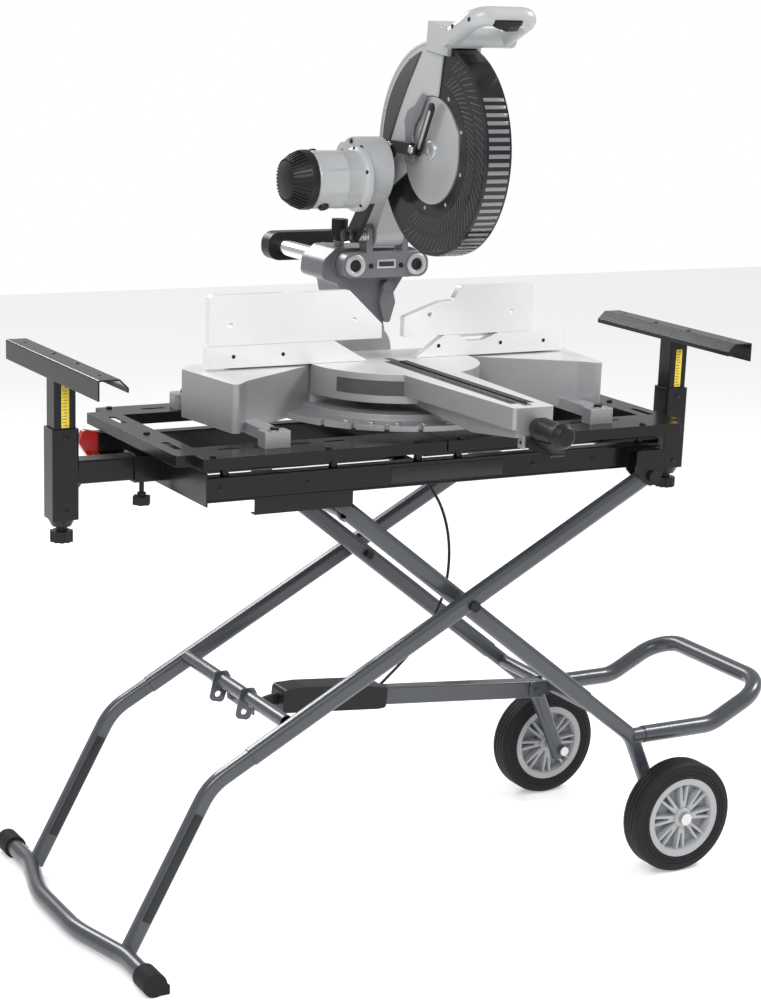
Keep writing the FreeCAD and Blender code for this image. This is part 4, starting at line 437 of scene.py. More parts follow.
def finishPiece(piece, body, finish, replaces=()):
    piece.data.materials.clear()
    piece.data.materials.append(materials[finish])
    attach(piece, body)
    if replaces:
        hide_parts(*replaces)
    return piece


def addPiece(name, form, body, finish, matrix=None, replaces=()):
    piece = show(bpy.data.objects.new(name, toMesh(name, form, matrix)))
    return finishPiece(piece, body, finish, replaces)


def at(centre, direction=(0, 0, 1)):
    return Matrix.Translation(centre) @ facing(direction)


def axes(x, y, z):
    return Matrix((x, y, z)).transposed().to_4x4()


def turned(matrix, angle):
    return matrix @ Matrix.Rotation(angle, 4, "Z")


# One Geometry Nodes group sets a prototype on every given spot, realises it and gives it its finish.
def makeRepeatGroup():
    group = bpy.data.node_groups.new("repeatPiece", "GeometryNodeTree")
    addSocket(group, "Geometry", "INPUT", "NodeSocketGeometry")
    addSocket(group, "Prototype", "INPUT", "NodeSocketObject")
    addSocket(group, "Finish", "INPUT", "NodeSocketMaterial")
    addSocket(group, "Geometry", "OUTPUT", "NodeSocketGeometry")
    nodes = group.nodes
    given, result = nodes.new("NodeGroupInput"), nodes.new("NodeGroupOutput")
    source = nodes.new("GeometryNodeObjectInfo")
    turn = nodes.new("GeometryNodeInputNamedAttribute")
    turn.data_type = "FLOAT_VECTOR"
    turn.inputs["Name"].default_value = "turn"
    spread = nodes.new("GeometryNodeInstanceOnPoints")
    realised = nodes.new("GeometryNodeRealizeInstances")
    painted = nodes.new("GeometryNodeSetMaterial")
    join(given, "Prototype", source, "Object")
    join(given, "Geometry", spread, "Points")
    join(source, "Geometry", spread, "Instance")
    join(turn, "Attribute", spread, "Rotation")
    join(spread, "Instances", realised, "Geometry")
    join(realised, "Geometry", painted, "Geometry")
    join(given, "Finish", painted, "Material")
    join(painted, "Geometry", result, "Geometry")
    return group


repeatGroup = makeRepeatGroup()


def repeatPiece(name, form, spots, body, finish):
    prototype = show(bpy.data.objects.new(name + "Prototype", toMesh(name + "Prototype", form)))
    points = bpy.data.meshes.new(name + "Spots")
    points.from_pydata([tuple(spot.translation) for spot in spots], [], [])
    turns = points.attributes.new("turn", "FLOAT_VECTOR", "POINT")
    for index, spot in enumerate(spots):
        turns.data[index].vector = spot.to_euler()
    holder = show(bpy.data.objects.new(name + "Holder", points))
    modifier = holder.modifiers.new("repeat", "NODES")
    modifier.node_group = repeatGroup
    names = {item.name: item.identifier for item in repeatGroup.interface.items_tree
             if item.in_out == "INPUT"}
    modifier[names["Prototype"]] = prototype
    modifier[names["Finish"]] = materials[finish]
    holder.update_tag()
    bpy.context.view_layer.update()
    graph = bpy.context.evaluated_depsgraph_get()
    mesh = bpy.data.meshes.new_from_object(holder.evaluated_get(graph))
    bpy.data.objects.remove(holder)
    bpy.data.objects.remove(prototype)
    if not mesh.polygons:
        raise RuntimeError(name + " came out empty")
    return finishPiece(show(bpy.data.objects.new(name, mesh)), body, finish)


# Plain fasteners. A screw's drive is a low raised hexagon. The shoulder is a share of the head's height, the
# crown and drive are shares of its radius.
fastener = {"shoulder": 0.62, "crown": 0.8, "segments": 20, "driveFoot": 0.42, "driveTop": 0.36,
            "driveRise": 0.12, "driveSink": 0.01, "hexSoften": 0.35}


def screwForm(radius, height):
    values = fastener
    form = lathe([(0, 0), (radius, 0), (radius, height * values["shoulder"]),
                  (radius * values["crown"], height), (0, height)], values["segments"])
    foot, top = height - values["driveSink"], height + values["driveRise"]
    drive = lathe([(0, foot), (radius * values["driveFoot"], foot), (radius * values["driveTop"], top),
                   (0, top)], 6)
    mesh = bpy.data.meshes.new("drive")
    drive.to_mesh(mesh)
    drive.free()
    form.from_mesh(mesh)
    bpy.data.meshes.remove(mesh)
    return form


def hexForm(radius, height):
    corners = [math.radians(60 * k) for k in range(6)]
    form = prism([(radius * math.cos(a), radius * math.sin(a)) for a in corners], height,
                 fastener["hexSoften"])
    bmesh.ops.translate(form, verts=form.verts, vec=(0, 0, height * mm / 2))
    return form


# The latch cable: the route's points, as x and z of place(), repeat the ones the part was built from.
cable = {"radius": 2.6, "sides": 16, "smoothness": 16,
         "route": ((-28, 738.7), (18, 712), (60, 668), (84, 612), (92, 550), (84, 488), (58, 432), (16, 380),
                   (-46.87, 328.6))}


def buildCable(values):
    start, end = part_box("release_cable")
    y = (start.y + end.y) / 2
    points = [Vector((ground.x + x * mm, y, z * mm)) for x, z in values["route"]]
    form = tube(points, values["radius"], values["sides"], values["smoothness"])
    piece = addPiece("latchCable", form, "platform", "cableJacket", replaces=("release_cable",))
    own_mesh(piece)


buildCable(cable)
print("cable made")


def nodeTree(node):
    data = frame["nodes"][node].data
    return BVHTree.FromPolygons([vertex.co.copy() for vertex in data.vertices],
                                [tuple(polygon.vertices) for polygon in data.polygons])


# Where straight lines from far points first meet a node, so that screws sit on its skin, or sink millimetres
# inside it. A line that misses is left out.
def meetAll(node, starts, direction, sink=0.0):
    tree = nodeTree(node)
    inward = Vector(direction).normalized()
    hits = [tree.ray_cast(start, inward)[0] for start in starts]
    return [at(hit + inward * sink * mm, -inward) for hit in hits if hit is not None]


def around(matrix, count):
    return [turned(matrix, 2 * math.pi * k / count) for k in range(count)]


# Wheels: solid rubber tyres with tread grooves on moulded, deep-spoked hubs. Profiles are radius and width.
wheel = {"radius": 102.4, "rim": 73.2, "halfWidth": 23.0, "centre": (444, 222, 102.5), "segments": 96,
         "bead": ((0, 1.5), (3, 0)), "shoulder": ((9, 0), (4, 1.2), (1.2, 4.2), (0, 8)),
         "grooves": (-9.0, 0.0, 9.0), "grooveWidth": 2.6, "grooveDepth": 2.2, "grooveFloor": 0.6,
         "sideRings": (80.0, 86.0), "sideRingWidth": 2.4, "sideRingDepth": 1.0,
         "rimProfile": ((62, -22), (73, -23), (73, 23), (62, 22), (59, 16), (59, 4), (20, 2), (20, -2),
                        (59, -4), (59, -16)), "rimSegments": 72,
         "bossProfile": ((9, -24.5), (15, -24.5), (17.5, -22), (19, 0), (17.5, 22), (15, 24.5), (9, 24.5)),
         "bossSegments": 40, "spokes": 8, "spokeDepth": 40, "spokeSoften": 0.8,
         "spokeOutline": ((16, -5.5), (61, -9.5), (61, -5.2), (30, -1.5), (30, 1.5), (61, 5.2), (61, 9.5),
                          (16, 5.5))}


def tyreProfile(values):
    r, half, rim = values["radius"], values["halfWidth"], values["rim"]
    side = [(rim + out, rise - half) for out, rise in values["bead"]]
    w, d = values["sideRingWidth"] / 2, values["sideRingDepth"]
    for ring in values["sideRings"]:
        side += [(ring - w, -half), (ring - w / 2, d - half), (ring + w / 2, d - half), (ring + w, -half)]
    side += [(r - back, rise - half) for back, rise in values["shoulder"]]
    w, d = values["grooveWidth"] / 2, values["grooveDepth"]
    floor = w * values["grooveFloor"]
    tread = []
    for groove in values["grooves"]:
        tread += [(r, groove - w), (r - d, groove - floor), (r - d, groove + floor), (r, groove + w)]
    return side + tread + [(radius, -width) for radius, width in reversed(side)]


def buildWheel(values, side):
    x, y, z = values["centre"]
    sign = -1 if side == "near" else 1
    turn = at(place(x, sign * y, z), (0, sign, 0))
    body = "wheel_" + side
    addPiece("tyre_" + side + "_rubber", lathe(tyreProfile(values), values["segments"]), body, "tyreRubber",
             turn, ("tyre_" + side,))
    addPiece("rim_" + side, lathe(values["rimProfile"], values["rimSegments"]), body, "hubPlastic", turn,
             ("hub_" + side,))
    addPiece("boss_" + side, lathe(values["bossProfile"], values["bossSegments"]), body, "hubPlastic", turn)
    spoke = prism(values["spokeOutline"], values["spokeDepth"], values["spokeSoften"])
    repeatPiece("spokes_" + side, spoke, around(turn, values["spokes"]), body, "hubPlastic")


for wheelSide in ("near", "far"):
    buildWheel(wheel, wheelSide)
print("wheels made")


# The folding guard: cross ribs on its rim, slanted vents and two rings on its side, screws and a hub cap.
# Angles are in degrees about its axis, ringArc's the other way round. A standOff is out from the skin.
guard = {"axis": (-40, -130, 1270), "rim": 165.9, "halfWidth": 22.4,
         "ribs": 40, "ribStart": 148.0, "ribStop": 318.0, "rib": (1.1, 6.2, 37, 0.35), "ribStandOff": 0.15,
         "ventRings": ((118, 44), (148, 40)), "ventStart": 112, "ventStop": 300, "ventSlant": -38,
         "ventLength": 30, "ventWidth": 1.3, "ventThickness": 0.7, "ventStandOff": 0.2,
         "rings": (("guardLip", 103.4, 104.8), ("guardEdge", 157.6, 159.4)), "ringArc": (-326, -104),
         "ringThickness": 0.7, "ringStandOff": 0.1, "ringSteps": 96,
         "screwRadius": 93.0, "screws": (118, 158, 199, 240, 281), "screwHead": (3.4, 1.8), "screwSink": 1.4,
         "capProfile": ((0, 0), (15, 0), (15, 2.2), (13.5, 3.4), (6, 3.4), (6, 2.2), (0, 2.2)),
         "capStandOff": 3.0}


def guardSpot(values, angle, radius, x, spin=0.0):
    _, y, z = values["axis"]
    c, s = math.cos(math.radians(angle)), math.sin(math.radians(angle))
    radial, across = Vector((0, c, s)), Vector((-1, 0, 0))
    turn = axes(radial, across.cross(radial), across)
    centre = place(x, y + radius * c, z + radius * s)
    return turned(Matrix.Translation(centre) @ turn, math.radians(spin))


def buildGuard(values):
    left = values["axis"][0] - values["halfWidth"]
    step = (values["ribStop"] - values["ribStart"]) / (values["ribs"] - 1)
    ribRadius = values["rim"] + values["ribStandOff"]
    ribs = [guardSpot(values, values["ribStart"] + step * k, ribRadius, values["axis"][0])
            for k in range(values["ribs"])]
    repeatPiece("guardRibs", slab(*values["rib"]), ribs, "lower_guard", "ribGrey")
    vents = []
    span = values["ventStop"] - values["ventStart"]
    for row, (radius, count) in enumerate(values["ventRings"]):
        vents += [guardSpot(values, values["ventStart"] + span * (k + 0.5 * row) / count, radius,
                            left - values["ventStandOff"], values["ventSlant"]) for k in range(count)]
    vent = prism(capsule(values["ventLength"], values["ventWidth"], 4), values["ventThickness"])
    repeatPiece("guardVents", vent, vents, "lower_guard", "ventGrey")
    for name, inner, outer in values["rings"]:
        band = prism(arcBand(inner, outer, *values["ringArc"], values["ringSteps"]), values["ringThickness"])
        addPiece(name, band, "lower_guard", "smoked", guardSpot(values, 0, 0, left - values["ringStandOff"]))
    screws = [guardSpot(values, angle, values["screwRadius"], left + values["screwSink"])
              for angle in values["screws"]]
    repeatPiece("guardScrews", screwForm(*values["screwHead"]), screws, "lower_guard", "zinc")
    addPiece("guardHubCap", lathe(values["capProfile"]), "lower_guard", "satinSilver",
             guardSpot(values, 0, 0, left - values["capStandOff"]))


# The fixed hood carries a dark panel with a curved inner edge, a bead along its rim and its edge screws.
# Radii and angles are about the guard's axis, and the bead's angles turn the other way.
hood = {"left": -66.0, "standOff": 0.5, "panelOuter": 157.0, "panelStart": -14.0, "panelStop": 76.0,
        "panelSwell": 7, "panelSteps": 36, "swellSteps": 20, "panelThickness": 1.6, "panelSoften": 0.5,
        "bead": (165.2, 168.4, -98, 26, 72), "beadThickness": 1.2, "beadSoften": 0.3,
        "screwRadius": 161.2, "screws": (-20, 20, 60, 94), "screwHead": (2.8, 1.6)}


def buildHood(values):
    start, stop, steps = values["panelStart"], values["panelStop"], values["panelSteps"]
    angles = [math.radians(start + (stop - start) * k / steps) for k in range(steps + 1)]
    outer = [(values["panelOuter"] * math.cos(a), -values["panelOuter"] * math.sin(a)) for a in angles]
    first, last = Vector(outer[0]), Vector(outer[-1])
    swell = ((first + last) / 2).normalized() * values["panelSwell"]
    steps = values["swellSteps"]
    inner = [last.lerp(first, k / steps) + swell * math.sin(math.pi * k / steps) for k in range(1, steps)]
    panel = prism(outer + [tuple(point) for point in inner], values["panelThickness"], values["panelSoften"])
    flat = guardSpot(guard, 0, 0, values["left"] - values["standOff"])
    addPiece("hoodPanel", panel, "head", "panelGrey", flat)
    bead = prism(arcBand(*values["bead"]), values["beadThickness"], values["beadSoften"])
    addPiece("hoodBead", bead, "head", "greyPaint", flat)
    screws = [guardSpot(guard, angle, values["screwRadius"], values["left"]) for angle in values["screws"]]
    repeatPiece("hoodScrews", screwForm(*values["screwHead"]), screws, "head", "zinc")


# The motor: a barrel with raised seams and a bolted flange, a finned dark cap and two brush caps. Steps are a
# change of the barrel's radius and a distance along its axis, the tail's counted back from the cap's end.
motor = {"axis": (-28, 1217), "start": -139.0, "barrel": 46.0, "cap": -231.0, "end": -275.0, "segments": 72,
         "barrelSteps": ((6, -1), (6, 7), (5, 9), (0.6, 12), (0, 40), (0.5, 41), (0, 42)),
         "capSteps": ((-1, 0), (1.5, 2), (1.5, 12), (-1, 16), (-6, 26)), "capTail": ((-15, 4), (-22, 0.8)),
         "seams": (20, 65, 115, 160, 200, 245, 295, 340), "seam": (1.6, 3.0, 76, 0.6), "seamMiddle": 53,
         "finSteps": ((-1, 15), (1.2, 15), (-3.6, 27)), "fins": 36, "finThickness": 2.0, "finSoften": 0.4,
         "bolts": 5, "boltHead": (3.2, 3.2), "boltReach": 2.4, "boltSeat": 8.5,
         "brushCaps": (("brushCapUpper", 60), ("brushCapLower", 240)), "brushX": -214, "brushSink": 2.0,
         "brushProfile": ((0, 0), (9, 0), (9, 5), (7.6, 6.5), (2, 6.5), (2, 5.4), (0, 5.4))}


def buildMotor(values):
    y, z = values["axis"]
    r, segments = values["barrel"], values["segments"]
    turn = at(place(values["start"], y, z), (-1, 0, 0))
    length = values["start"] - values["cap"]
    profile = [(0, -1)] + [(r + out, along) for out, along in values["barrelSteps"]]
    profile += [(r, length - 3), (r - 2, length), (0, length)]
    addPiece("motorBarrel", lathe(profile, segments), "head", "greyPaint", turn, ("motor",))
    outward = Matrix.Translation((r * mm, 0, values["seamMiddle"] * mm))
    seams = [turned(turn, math.radians(a)) @ outward for a in values["seams"]]
    repeatPiece("motorSeams", slab(*values["seam"]), seams, "head", "greyPaint")
    depth = values["cap"] - values["end"]
    profile = [(0, 0)] + [(r + out, along) for out, along in values["capSteps"]]
    profile += [(r + out, depth - back) for out, back in values["capTail"]] + [(0, depth)]
    capTurn = at(place(values["cap"], y, z), (-1, 0, 0))
    addPiece("motorCap", lathe(profile, segments), "head", "blackPlastic", capTurn)
    outline = [(r + out, along) for out, along in values["finSteps"]]
    outline += [(r - 13, depth - 3), (r - 17, depth - 3), (r - 9, 27)]
    fin = prism(outline, values["finThickness"], values["finSoften"])
    upright = Matrix.Rotation(math.radians(90), 4, "X")
    fins = [spot @ upright for spot in around(capTurn, values["fins"])]
    repeatPiece("motorFins", fin, fins, "head", "blackPlastic")
    outward = Matrix.Translation(((r + values["boltReach"]) * mm, 0, values["boltSeat"] * mm))
    bolts = [spot @ outward for spot in around(turn, values["bolts"])]
    repeatPiece("flangeBolts", screwForm(*values["boltHead"]), bolts, "head", "darkSteel")
    for name, angle in values["brushCaps"]:
        outward = Vector((0, math.cos(math.radians(angle)), math.sin(math.radians(angle))))
        spot = place(values["brushX"], y, z) + outward * (r - values["brushSink"]) * mm
        addPiece(name, lathe(values["brushProfile"], 28), "head", "blackPlastic", at(spot, outward))


# Round the chop shaft and the guard's hub: the return spring, the shaft's nut, the slotted link and its pins.
linkage = {"shaft": (88, 1112), "springStart": -78.0, "springTurns": 6, "springPitch": 3.1,
           "springRadius": 12.6, "springSteps": 14, "wire": 1.25, "wireSides": 8, "wireSmoothness": 3,
           "nut": (11, 7), "nutX": -96, "link": (-75.5, -126, 1302), "linkLean": (-0.46, 0.888),
           "linkSize": (96, 17), "linkThickness": 3.2, "linkSoften": 0.6,
           "trackSize": (70, 6.5, 8), "trackThickness": 4.0, "trackShift": 0.1,
           "pins": (("linkPin", (6.5, 3.5), (-88.3, -107, 1270)),
                    ("linkElbowPin", (5.5, 3.0), (-88.3, -36, 1272)))}


def buildLinkage(values):
    y, z = values["shaft"]
    steps, radius = values["springSteps"], values["springRadius"]
    points = []
    for k in range(values["springTurns"] * steps + 1):
        angle = 2 * math.pi * k / steps
        points.append(place(values["springStart"] + values["springPitch"] * k / steps,
                            y + radius * math.cos(angle), z + radius * math.sin(angle)))
    spring = tube(points, values["wire"], values["wireSides"], values["wireSmoothness"])
    addPiece("returnSpring", spring, "slide", "zinc")
    addPiece("shaftNut", hexForm(*values["nut"]), "slide", "darkSteel",
             at(place(values["nutX"], y, z), (-1, 0, 0)))
    link = prism(capsule(*values["linkSize"]), values["linkThickness"], values["linkSoften"])
    track = prism(capsule(*values["trackSize"]), values["trackThickness"])
    x, y, z = values["link"]
    c, s = values["linkLean"]
    lean = axes(Vector((0, c, s)), Vector((0, s, -c)), Vector((-1, 0, 0)))
    addPiece("slottedLink", link, "guard_link", "darkSteel", Matrix.Translation(place(x, y, z)) @ lean)
    addPiece("slottedLinkTrack", track, "guard_link", "satinSilver",
             Matrix.Translation(place(x - values["trackShift"], y, z)) @ lean)
    for name, head, spot in values["pins"]:
        addPiece(name, screwForm(*head), "guard_link", "zinc", at(place(*spot), (-1, 0, 0)))


# The carriage front shows the two rail bores, a plate with a recess drawn in painted shade and its clamp
# screws. Shifts are from the front face, the rise and drop from the rails' height.
carriage = {"bores": (-84, 34), "railHeight": 1062, "front": 76.0, "plateX": -25, "plateRise": 2,
            "ringProfile": ((10.5, 0), (18.5, 0), (18.5, 1.6), (16.8, 2.6), (12.6, 2.6), (11.6, 1.2),
                            (10.5, 1.2)), "ringSegments": 48,
            "plugProfile": ((0, 0), (10.4, 0), (10.4, 0.8), (4.5, 0.8), (3.5, 0.3), (0, 0.3)),
            "plugSegments": 40, "plate": (36, 15, 1.4, 0.5), "plateShift": 0.6,
            "recessPaintedShade": (29, 8.5, 0.8, 0.3), "recessPaintedShadeShift": 1.5,
            "screws": (-54, 4), "screwDrop": 1, "screwHead": (4.2, 3.2)}


def buildCarriage(values):
    z, front = values["railHeight"], values["front"]

    def onFront(x, shift, rise):
        return at(place(x, front - shift, z + rise), (0, -1, 0))

    bores = [onFront(x, 0, 0) for x in values["bores"]]
    repeatPiece("railBoreRings", lathe(values["ringProfile"], values["ringSegments"]), bores, "slide",
                "satinSilver")
    repeatPiece("railBorePlugs", lathe(values["plugProfile"], values["plugSegments"]), bores, "slide",
                "blackPlastic")
    x, rise = values["plateX"], values["plateRise"]
    addPiece("carriagePlate", slab(*values["plate"]), "slide", "satinSilver",
             onFront(x, values["plateShift"], rise))
    # The recess is a dark slab set in front of the plate: painted shade where the hollow would be.
    addPiece("carriageRecess", slab(*values["recessPaintedShade"]), "slide", "panelGrey",
             onFront(x, values["recessPaintedShadeShift"], rise))
    screws = [onFront(x, 0, -values["screwDrop"]) for x in values["screws"]]
    repeatPiece("carriageScrews", screwForm(*values["screwHead"]), screws, "slide", "darkSteel")


# Plain screws that hold the D-handle's halves, looked for from far out on its left.
handle = {"far": 50, "inset": 20, "screwHead": (3.6, 1.2)}


def buildHandleDetail(values):
    low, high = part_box("d_handle")
    x, inset = low.x - values["far"] * mm, values["inset"] * mm
    starts = [Vector((x, low.y + inset, high.z - inset)),
              Vector((x, (low.y + high.y) / 2, (low.z + high.z) / 2))]
    screws = meetAll("d_handle", starts, (1, 0, 0))
    repeatPiece("handleScrews", screwForm(*values["screwHead"]), screws, "head", "darkSteel")


# The lever cover over the guard's hub, its outline as y and z of place(), and the gear case's screws.
cover = {"x": -70.5, "thickness": 4.0, "soften": 1.4, "softenSteps": 3,
         "outline": ((-118, 1352), (-104, 1358), (-84, 1338), (-62, 1330), (-52, 1312), (-58, 1284),
                     (-64, 1256), (-86, 1250), (-88, 1266), (-80, 1290), (-84, 1306), (-98, 1320)),
         "caseCentre": (-8, 1229), "caseFace": -139.0, "caseRadius": 47.0,
         "caseScrews": (35, 80, 125, 170, 330), "screwHead": (4.0, 2.6)}


def buildCover(values):
    outline = [(y, -z) for y, z in values["outline"]]
    shape = prism(outline, values["thickness"], values["soften"], values["softenSteps"])
    turn = axes(Vector((0, 1, 0)), Vector((0, 0, -1)), Vector((-1, 0, 0)))
    addPiece("leverCover", shape, "head", "supportGrey", Matrix.Translation(place(values["x"], 0, 0)) @ turn)
    y, z = values["caseCentre"]
    reach = values["caseRadius"]
    screws = []
    for a in map(math.radians, values["caseScrews"]):
        spot = place(values["caseFace"], y + reach * math.cos(a), z + reach * math.sin(a))
        screws.append(at(spot, (-1, 0, 0)))
    repeatPiece("caseScrews", screwForm(*values["screwHead"]), screws, "head", "darkSteel")


buildCarriage(carriage)
buildHandleDetail(handle)
buildCover(cover)
buildGuard(guard)
buildHood(hood)
buildMotor(motor)
buildLinkage(linkage)
print("saw head made")


# The saw base: mounting bolts with washers, detent bolts, the drum's label and the kerf plate's screws. Their
# places are found straight down from the heights called above.
base = {"feet": ((-345, -158), (265, -158), (-345, 188), (265, 188)), "above": 1000, "footBolt": (8, 5),
        "washerProfile": ((4, 0), (11, 0), (11, 1.4), (4, 1.4)), "washerSegments": 28,
        "drum": (-40, 20, 150.2), "detentRadius": 196.0, "detentBolts": 9, "detentStart": 220,
        "detentSpan": 100, "detentAbove": 861, "detentHead": (5.2, 3.0),
        "labelInner": 0.2, "labelOuter": 0.7, "labelStart": 205.0, "labelStop": 254.0, "labelHeight": 24.0,
        "labelMiddle": 887, "kerfX": (-15, 15), "kerfY": (-60, -180, -300, -380), "kerfHead": (2.6, 0.9),
        "kerfSink": 0.4}


def buildBase(values):
    down = (0, 0, -1)
    spots = meetAll("saw_base", [place(x, y, values["above"]) for x, y in values["feet"]], down)
    repeatPiece("footBolts", hexForm(*values["footBolt"]), spots, "platform", "darkSteel")
    repeatPiece("footWashers", lathe(values["washerProfile"], values["washerSegments"]), spots, "platform",
                "zinc")
    x, y, radius = values["drum"]
    reach, last = values["detentRadius"], values["detentBolts"] - 1
    angles = [math.radians(values["detentStart"] + values["detentSpan"] * k / last) for k in range(last + 1)]
    starts = [place(x + reach * math.cos(a), y + reach * math.sin(a), values["detentAbove"]) for a in angles]
    bolts = meetAll("saw_base", starts, down)
    repeatPiece("detentBolts", screwForm(*values["detentHead"]), bolts, "platform", "zinc")
    label = prism(arcBand(radius - values["labelInner"], radius + values["labelOuter"],
                          values["labelStart"], values["labelStop"]), values["labelHeight"])
    addPiece("drumLabel", label, "turntable", "labelSpeckle", at(place(x, y, values["labelMiddle"])))
    starts = [place(x + side, y, values["above"]) for side in values["kerfX"] for y in values["kerfY"]]
    screws = meetAll("kerf_plate", starts, down, values["kerfSink"])
    repeatPiece("kerfScrews", screwForm(*values["kerfHead"]), screws, "turntable", "darkSteel")


buildBase(base)


# Screws seen on the fence faces, set in from the front.
fence = {"screws": ((-334, 929), (-244, 929), (52, 929), (176, 929), (264, 929)), "front": -200,
         "screwHead": (3.4, 1.1), "sink": 0.6}


def buildFences(values):
    starts = [place(x, values["front"], z) for x, z in values["screws"]]
    spots = meetAll("fixed_fences", starts, (0, 1, 0), values["sink"])
    repeatPiece("fenceScrews", screwForm(*values["screwHead"]), spots, "platform", "darkSteel")


buildFences(fence)
print("base and fences made")


# The beam: rolled lips, a plain plate, rivets along both rails and the trays' bolts.
beam = {"x": (-473, 372), "front": 190.0, "standOff": 0.3, "middle": 761, "lips": (779.0, 743.0),
        "lipSection": (1.6, 3.6, 0.6), "plate": (-150, 60), "plateSection": (26, 0.8, 0.3),
        "rivets": (-452, -300, 120, 240, 352), "rivetSegments": 20,
        "rivetProfile": ((0, 0), (4.5, 0), (4.1, 1.2), (2.4, 2.0), (0, 2.2)),
        "trays": (("left_tray", (-470, -270, -110), (-200, 220)),
                  ("right_tray", (-30, 150, 330), (-200, 220)),
                  ("left_tray", (-495,), (-120, 0, 120)), ("right_tray", (398,), (-120, 0, 120))),
        "trayAbove": 900, "trayHead": (5.4, 3.0)}


def buildBeam(values):
    start, stop = values["x"]
    front, middle = values["front"], values["middle"]
    skin = front + values["standOff"]
    for side, sign in (("Near", -1), ("Far", 1)):
        spots = [at(place((start + stop) / 2, sign * skin, z)) for z in values["lips"]]
        repeatPiece("railLips" + side, slab(stop - start, *values["lipSection"]), spots, "platform",
                    "framePaint")
    left, right = values["plate"]
    addPiece("beamPlate", slab(right - left, *values["plateSection"]), "platform", "labelDark",
             at(place((left + right) / 2, -skin, middle), (0, -1, 0)))
    rivets = [at(place(x, sign * front, middle), (0, sign, 0)) for sign in (-1, 1) for x in values["rivets"]]
    repeatPiece("beamRivets", lathe(values["rivetProfile"], values["rivetSegments"]), rivets, "platform",
                "darkSteel")
    bolts = []
    for node, xs, ys in values["trays"]:
        bolts += meetAll(node, [place(x, y, values["trayAbove"]) for x in xs for y in ys], (0, 0, -1))
    repeatPiece("trayBolts", screwForm(*values["trayHead"]), bolts, "platform", "darkSteel")


buildBeam(beam)


# Plain strips on the outer legs' lower ends. The leg's line runs through legPoint with legSlope, as x and z.
strips = {"size": (190, 15, 0.5, 0.15), "from": (-611, 20), "toX": -470, "share": 0.52, "legSlope": 0.552,
          "legPoint": (341.03, 730.31), "sides": (("Near", -219.3), ("Far", 194.7))}


def buildStrips(values):
    legX, legZ = values["legPoint"]
    first = Vector(values["from"])
    last = Vector((values["toX"], values["legSlope"] * (values["toX"] - legX) + legZ))
    along = (last - first).normalized()
    turn = axes(Vector((along.x, 0, along.y)), Vector((-along.y, 0, along.x)), Vector((0, -1, 0)))
    middle = first.lerp(last, values["share"])
    for side, y in values["sides"]:
        addPiece("legStrip" + side, slab(*values["size"]), "outer_frame", "labelDark",
                 Matrix.Translation(place(middle.x, y, middle.y)) @ turn)


buildStrips(strips)


# Height marks on the sliding posts, rivets on the outer posts and screws in the T-heads, whose places are
# shares of the head's width. Every fourth mark has its own shift.
posts = {"left": -640, "right": 531, "half": 18.0, "outerHalf": 22.0, "marksFrom": 842.0, "marksTo": 902.0,
         "marks": 13, "mark": (6.5, 0.9, 0.4, 0.1), "markShift": -1.5, "fourthShift": 0.0,
         "markStandOff": 0.45, "bandWidth": 13, "bandMargin": 8, "bandSection": (0.5, 0.15),
         "bandStandOff": 0.1, "rivets": (704, 822), "rivetSegments": 20,
         "rivetProfile": ((0, 0), (5.2, 0), (4.8, 1.4), (2.8, 2.2), (0, 2.4)),
         "screws": (0.375, 0.625), "screwAbove": 50, "screwHead": (4.6, 1.4), "screwSink": 0.5}


def buildPosts(values):
    low, high = values["marksFrom"], values["marksTo"]
    step = (high - low) / (values["marks"] - 1)
    face = -values["half"]
    for side in ("left", "right"):
        x = values[side]
        band = slab(values["bandWidth"], high - low + values["bandMargin"], *values["bandSection"])
        addPiece(side + "ScaleBand", band, side + "_head", "scaleYellow",
                 at(place(x, face - values["bandStandOff"], (high + low) / 2), (0, -1, 0)))
        marks = []
        for k in range(values["marks"]):
            shift = values["markShift"] if k % 4 else values["fourthShift"]
            marks.append(at(place(x + shift, face - values["markStandOff"], low + step * k), (0, -1, 0)))
        repeatPiece(side + "ScaleMarks", slab(*values["mark"]), marks, side + "_head", "panelGrey")
        rivets = [at(place(x, sign * values["outerHalf"], z), (0, sign, 0)) for z in values["rivets"]
                  for sign in (-1, 1)]
        repeatPiece(side + "PostRivets", lathe(values["rivetProfile"], values["rivetSegments"]), rivets,
                    side + "_arm", "darkSteel")
    for side in ("left", "right"):
        low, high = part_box(side + "_head")
        starts = [Vector(((low.x + high.x) / 2, low.y + (high.y - low.y) * share,
                          high.z + values["screwAbove"] * mm)) for share in values["screws"]]
        screws = meetAll(side + "_head", starts, (0, 0, -1), values["screwSink"])
        repeatPiece(side + "HeadScrews", screwForm(*values["screwHead"]), screws, side + "_head", "darkSteel")


buildPosts(posts)
print("stand details made")


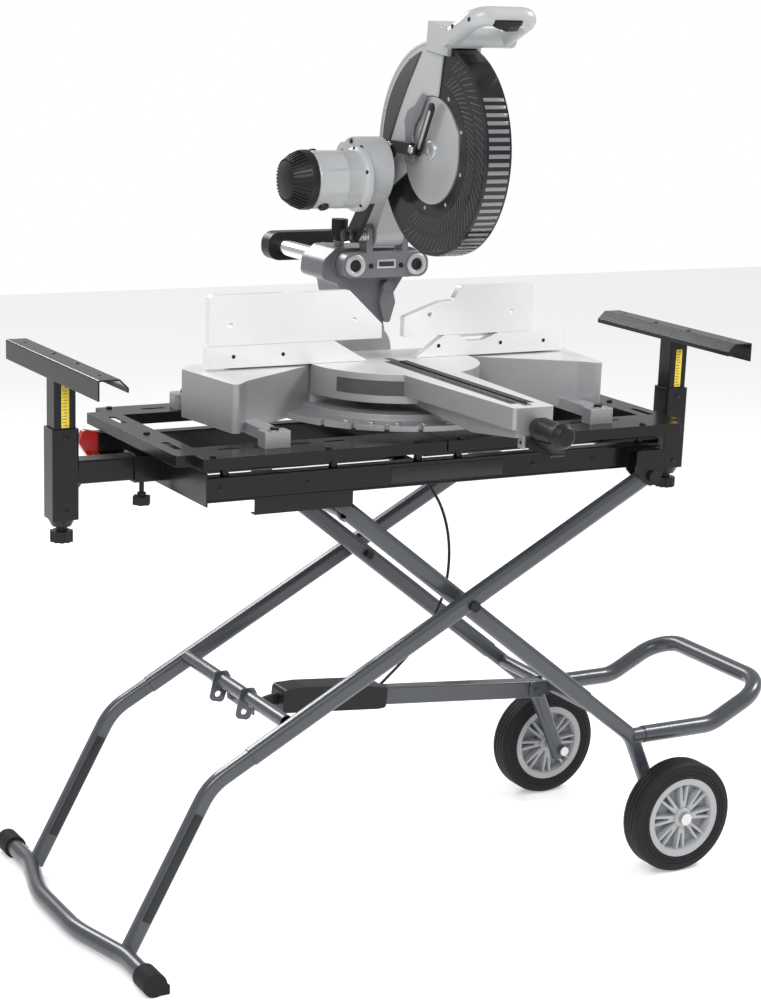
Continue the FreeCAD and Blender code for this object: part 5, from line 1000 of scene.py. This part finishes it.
# A pale floor that glows a little, a sky that looks brighter than it lights, and three soft lamps turned to
# aim, each with its place in metres, watts and size.
studio = {"floorSize": 14.0, "floorDrop": 0.0005, "floorColour": (0.86, 0.86, 0.86, 1), "floorGlow": 0.42,
          "floorRoughness": 0.85, "skyColour": (1, 1, 1, 1), "skyStrength": 0.56, "seenStrength": 1.0,
          "aim": (0, 0, 0.8), "lamps": (("key", (-2.2, -2.6, 3.4), 105.0, 1.8),
                                        ("rim", (2.6, -0.6, 2.8), 70.0, 0.9),
                                        ("back", (-0.6, 2.8, 2.6), 50.0, 1.2))}


def buildFloor(values):
    half = values["floorSize"] / 2
    form = bmesh.new()
    form.faces.new([form.verts.new((ground.x + x, ground.y + y, -values["floorDrop"]))
                    for x, y in ((-half, -half), (half, -half), (half, half), (-half, half))])
    floor = show(bpy.data.objects.new("floor", toMesh("floor", form)))
    paper = bpy.data.materials.new("paper")
    paper.use_nodes = True
    fill(paper.node_tree.nodes["Principled BSDF"],
         {"Base Color": values["floorColour"], "Emission Color": values["floorColour"],
          "Emission Strength": values["floorGlow"], "Roughness": values["floorRoughness"]})
    floor.data.materials.append(paper)


def buildStudio(values):
    buildFloor(values)
    sky = bpy.data.worlds.new("studio")
    sky.use_nodes = True
    nodes = sky.node_tree.nodes
    lit, seen = nodes["Background"], nodes.new("ShaderNodeBackground")
    for background, strength in ((lit, values["skyStrength"]), (seen, values["seenStrength"])):
        fill(background, {"Color": values["skyColour"], "Strength": strength})
    mix, path = nodes.new("ShaderNodeMixShader"), nodes.new("ShaderNodeLightPath")
    join(path, "Is Camera Ray", mix, "Fac")
    join(lit, "Background", mix, 1)
    join(seen, "Background", mix, 2)
    join(mix, "Shader", nodes["World Output"], "Surface")
    bpy.context.scene.world = sky
    bpy.context.scene.view_settings.view_transform = "Standard"
    for name, spot, power, size in values["lamps"]:
        light = bpy.data.lights.new(name, "AREA")
        light.energy = power
        light.size = size
        lamp = show(bpy.data.objects.new(name, light))
        lamp.matrix_world = at(Vector(spot), Vector(spot) - Vector(values["aim"]))


buildStudio(studio)
print("studio lit")
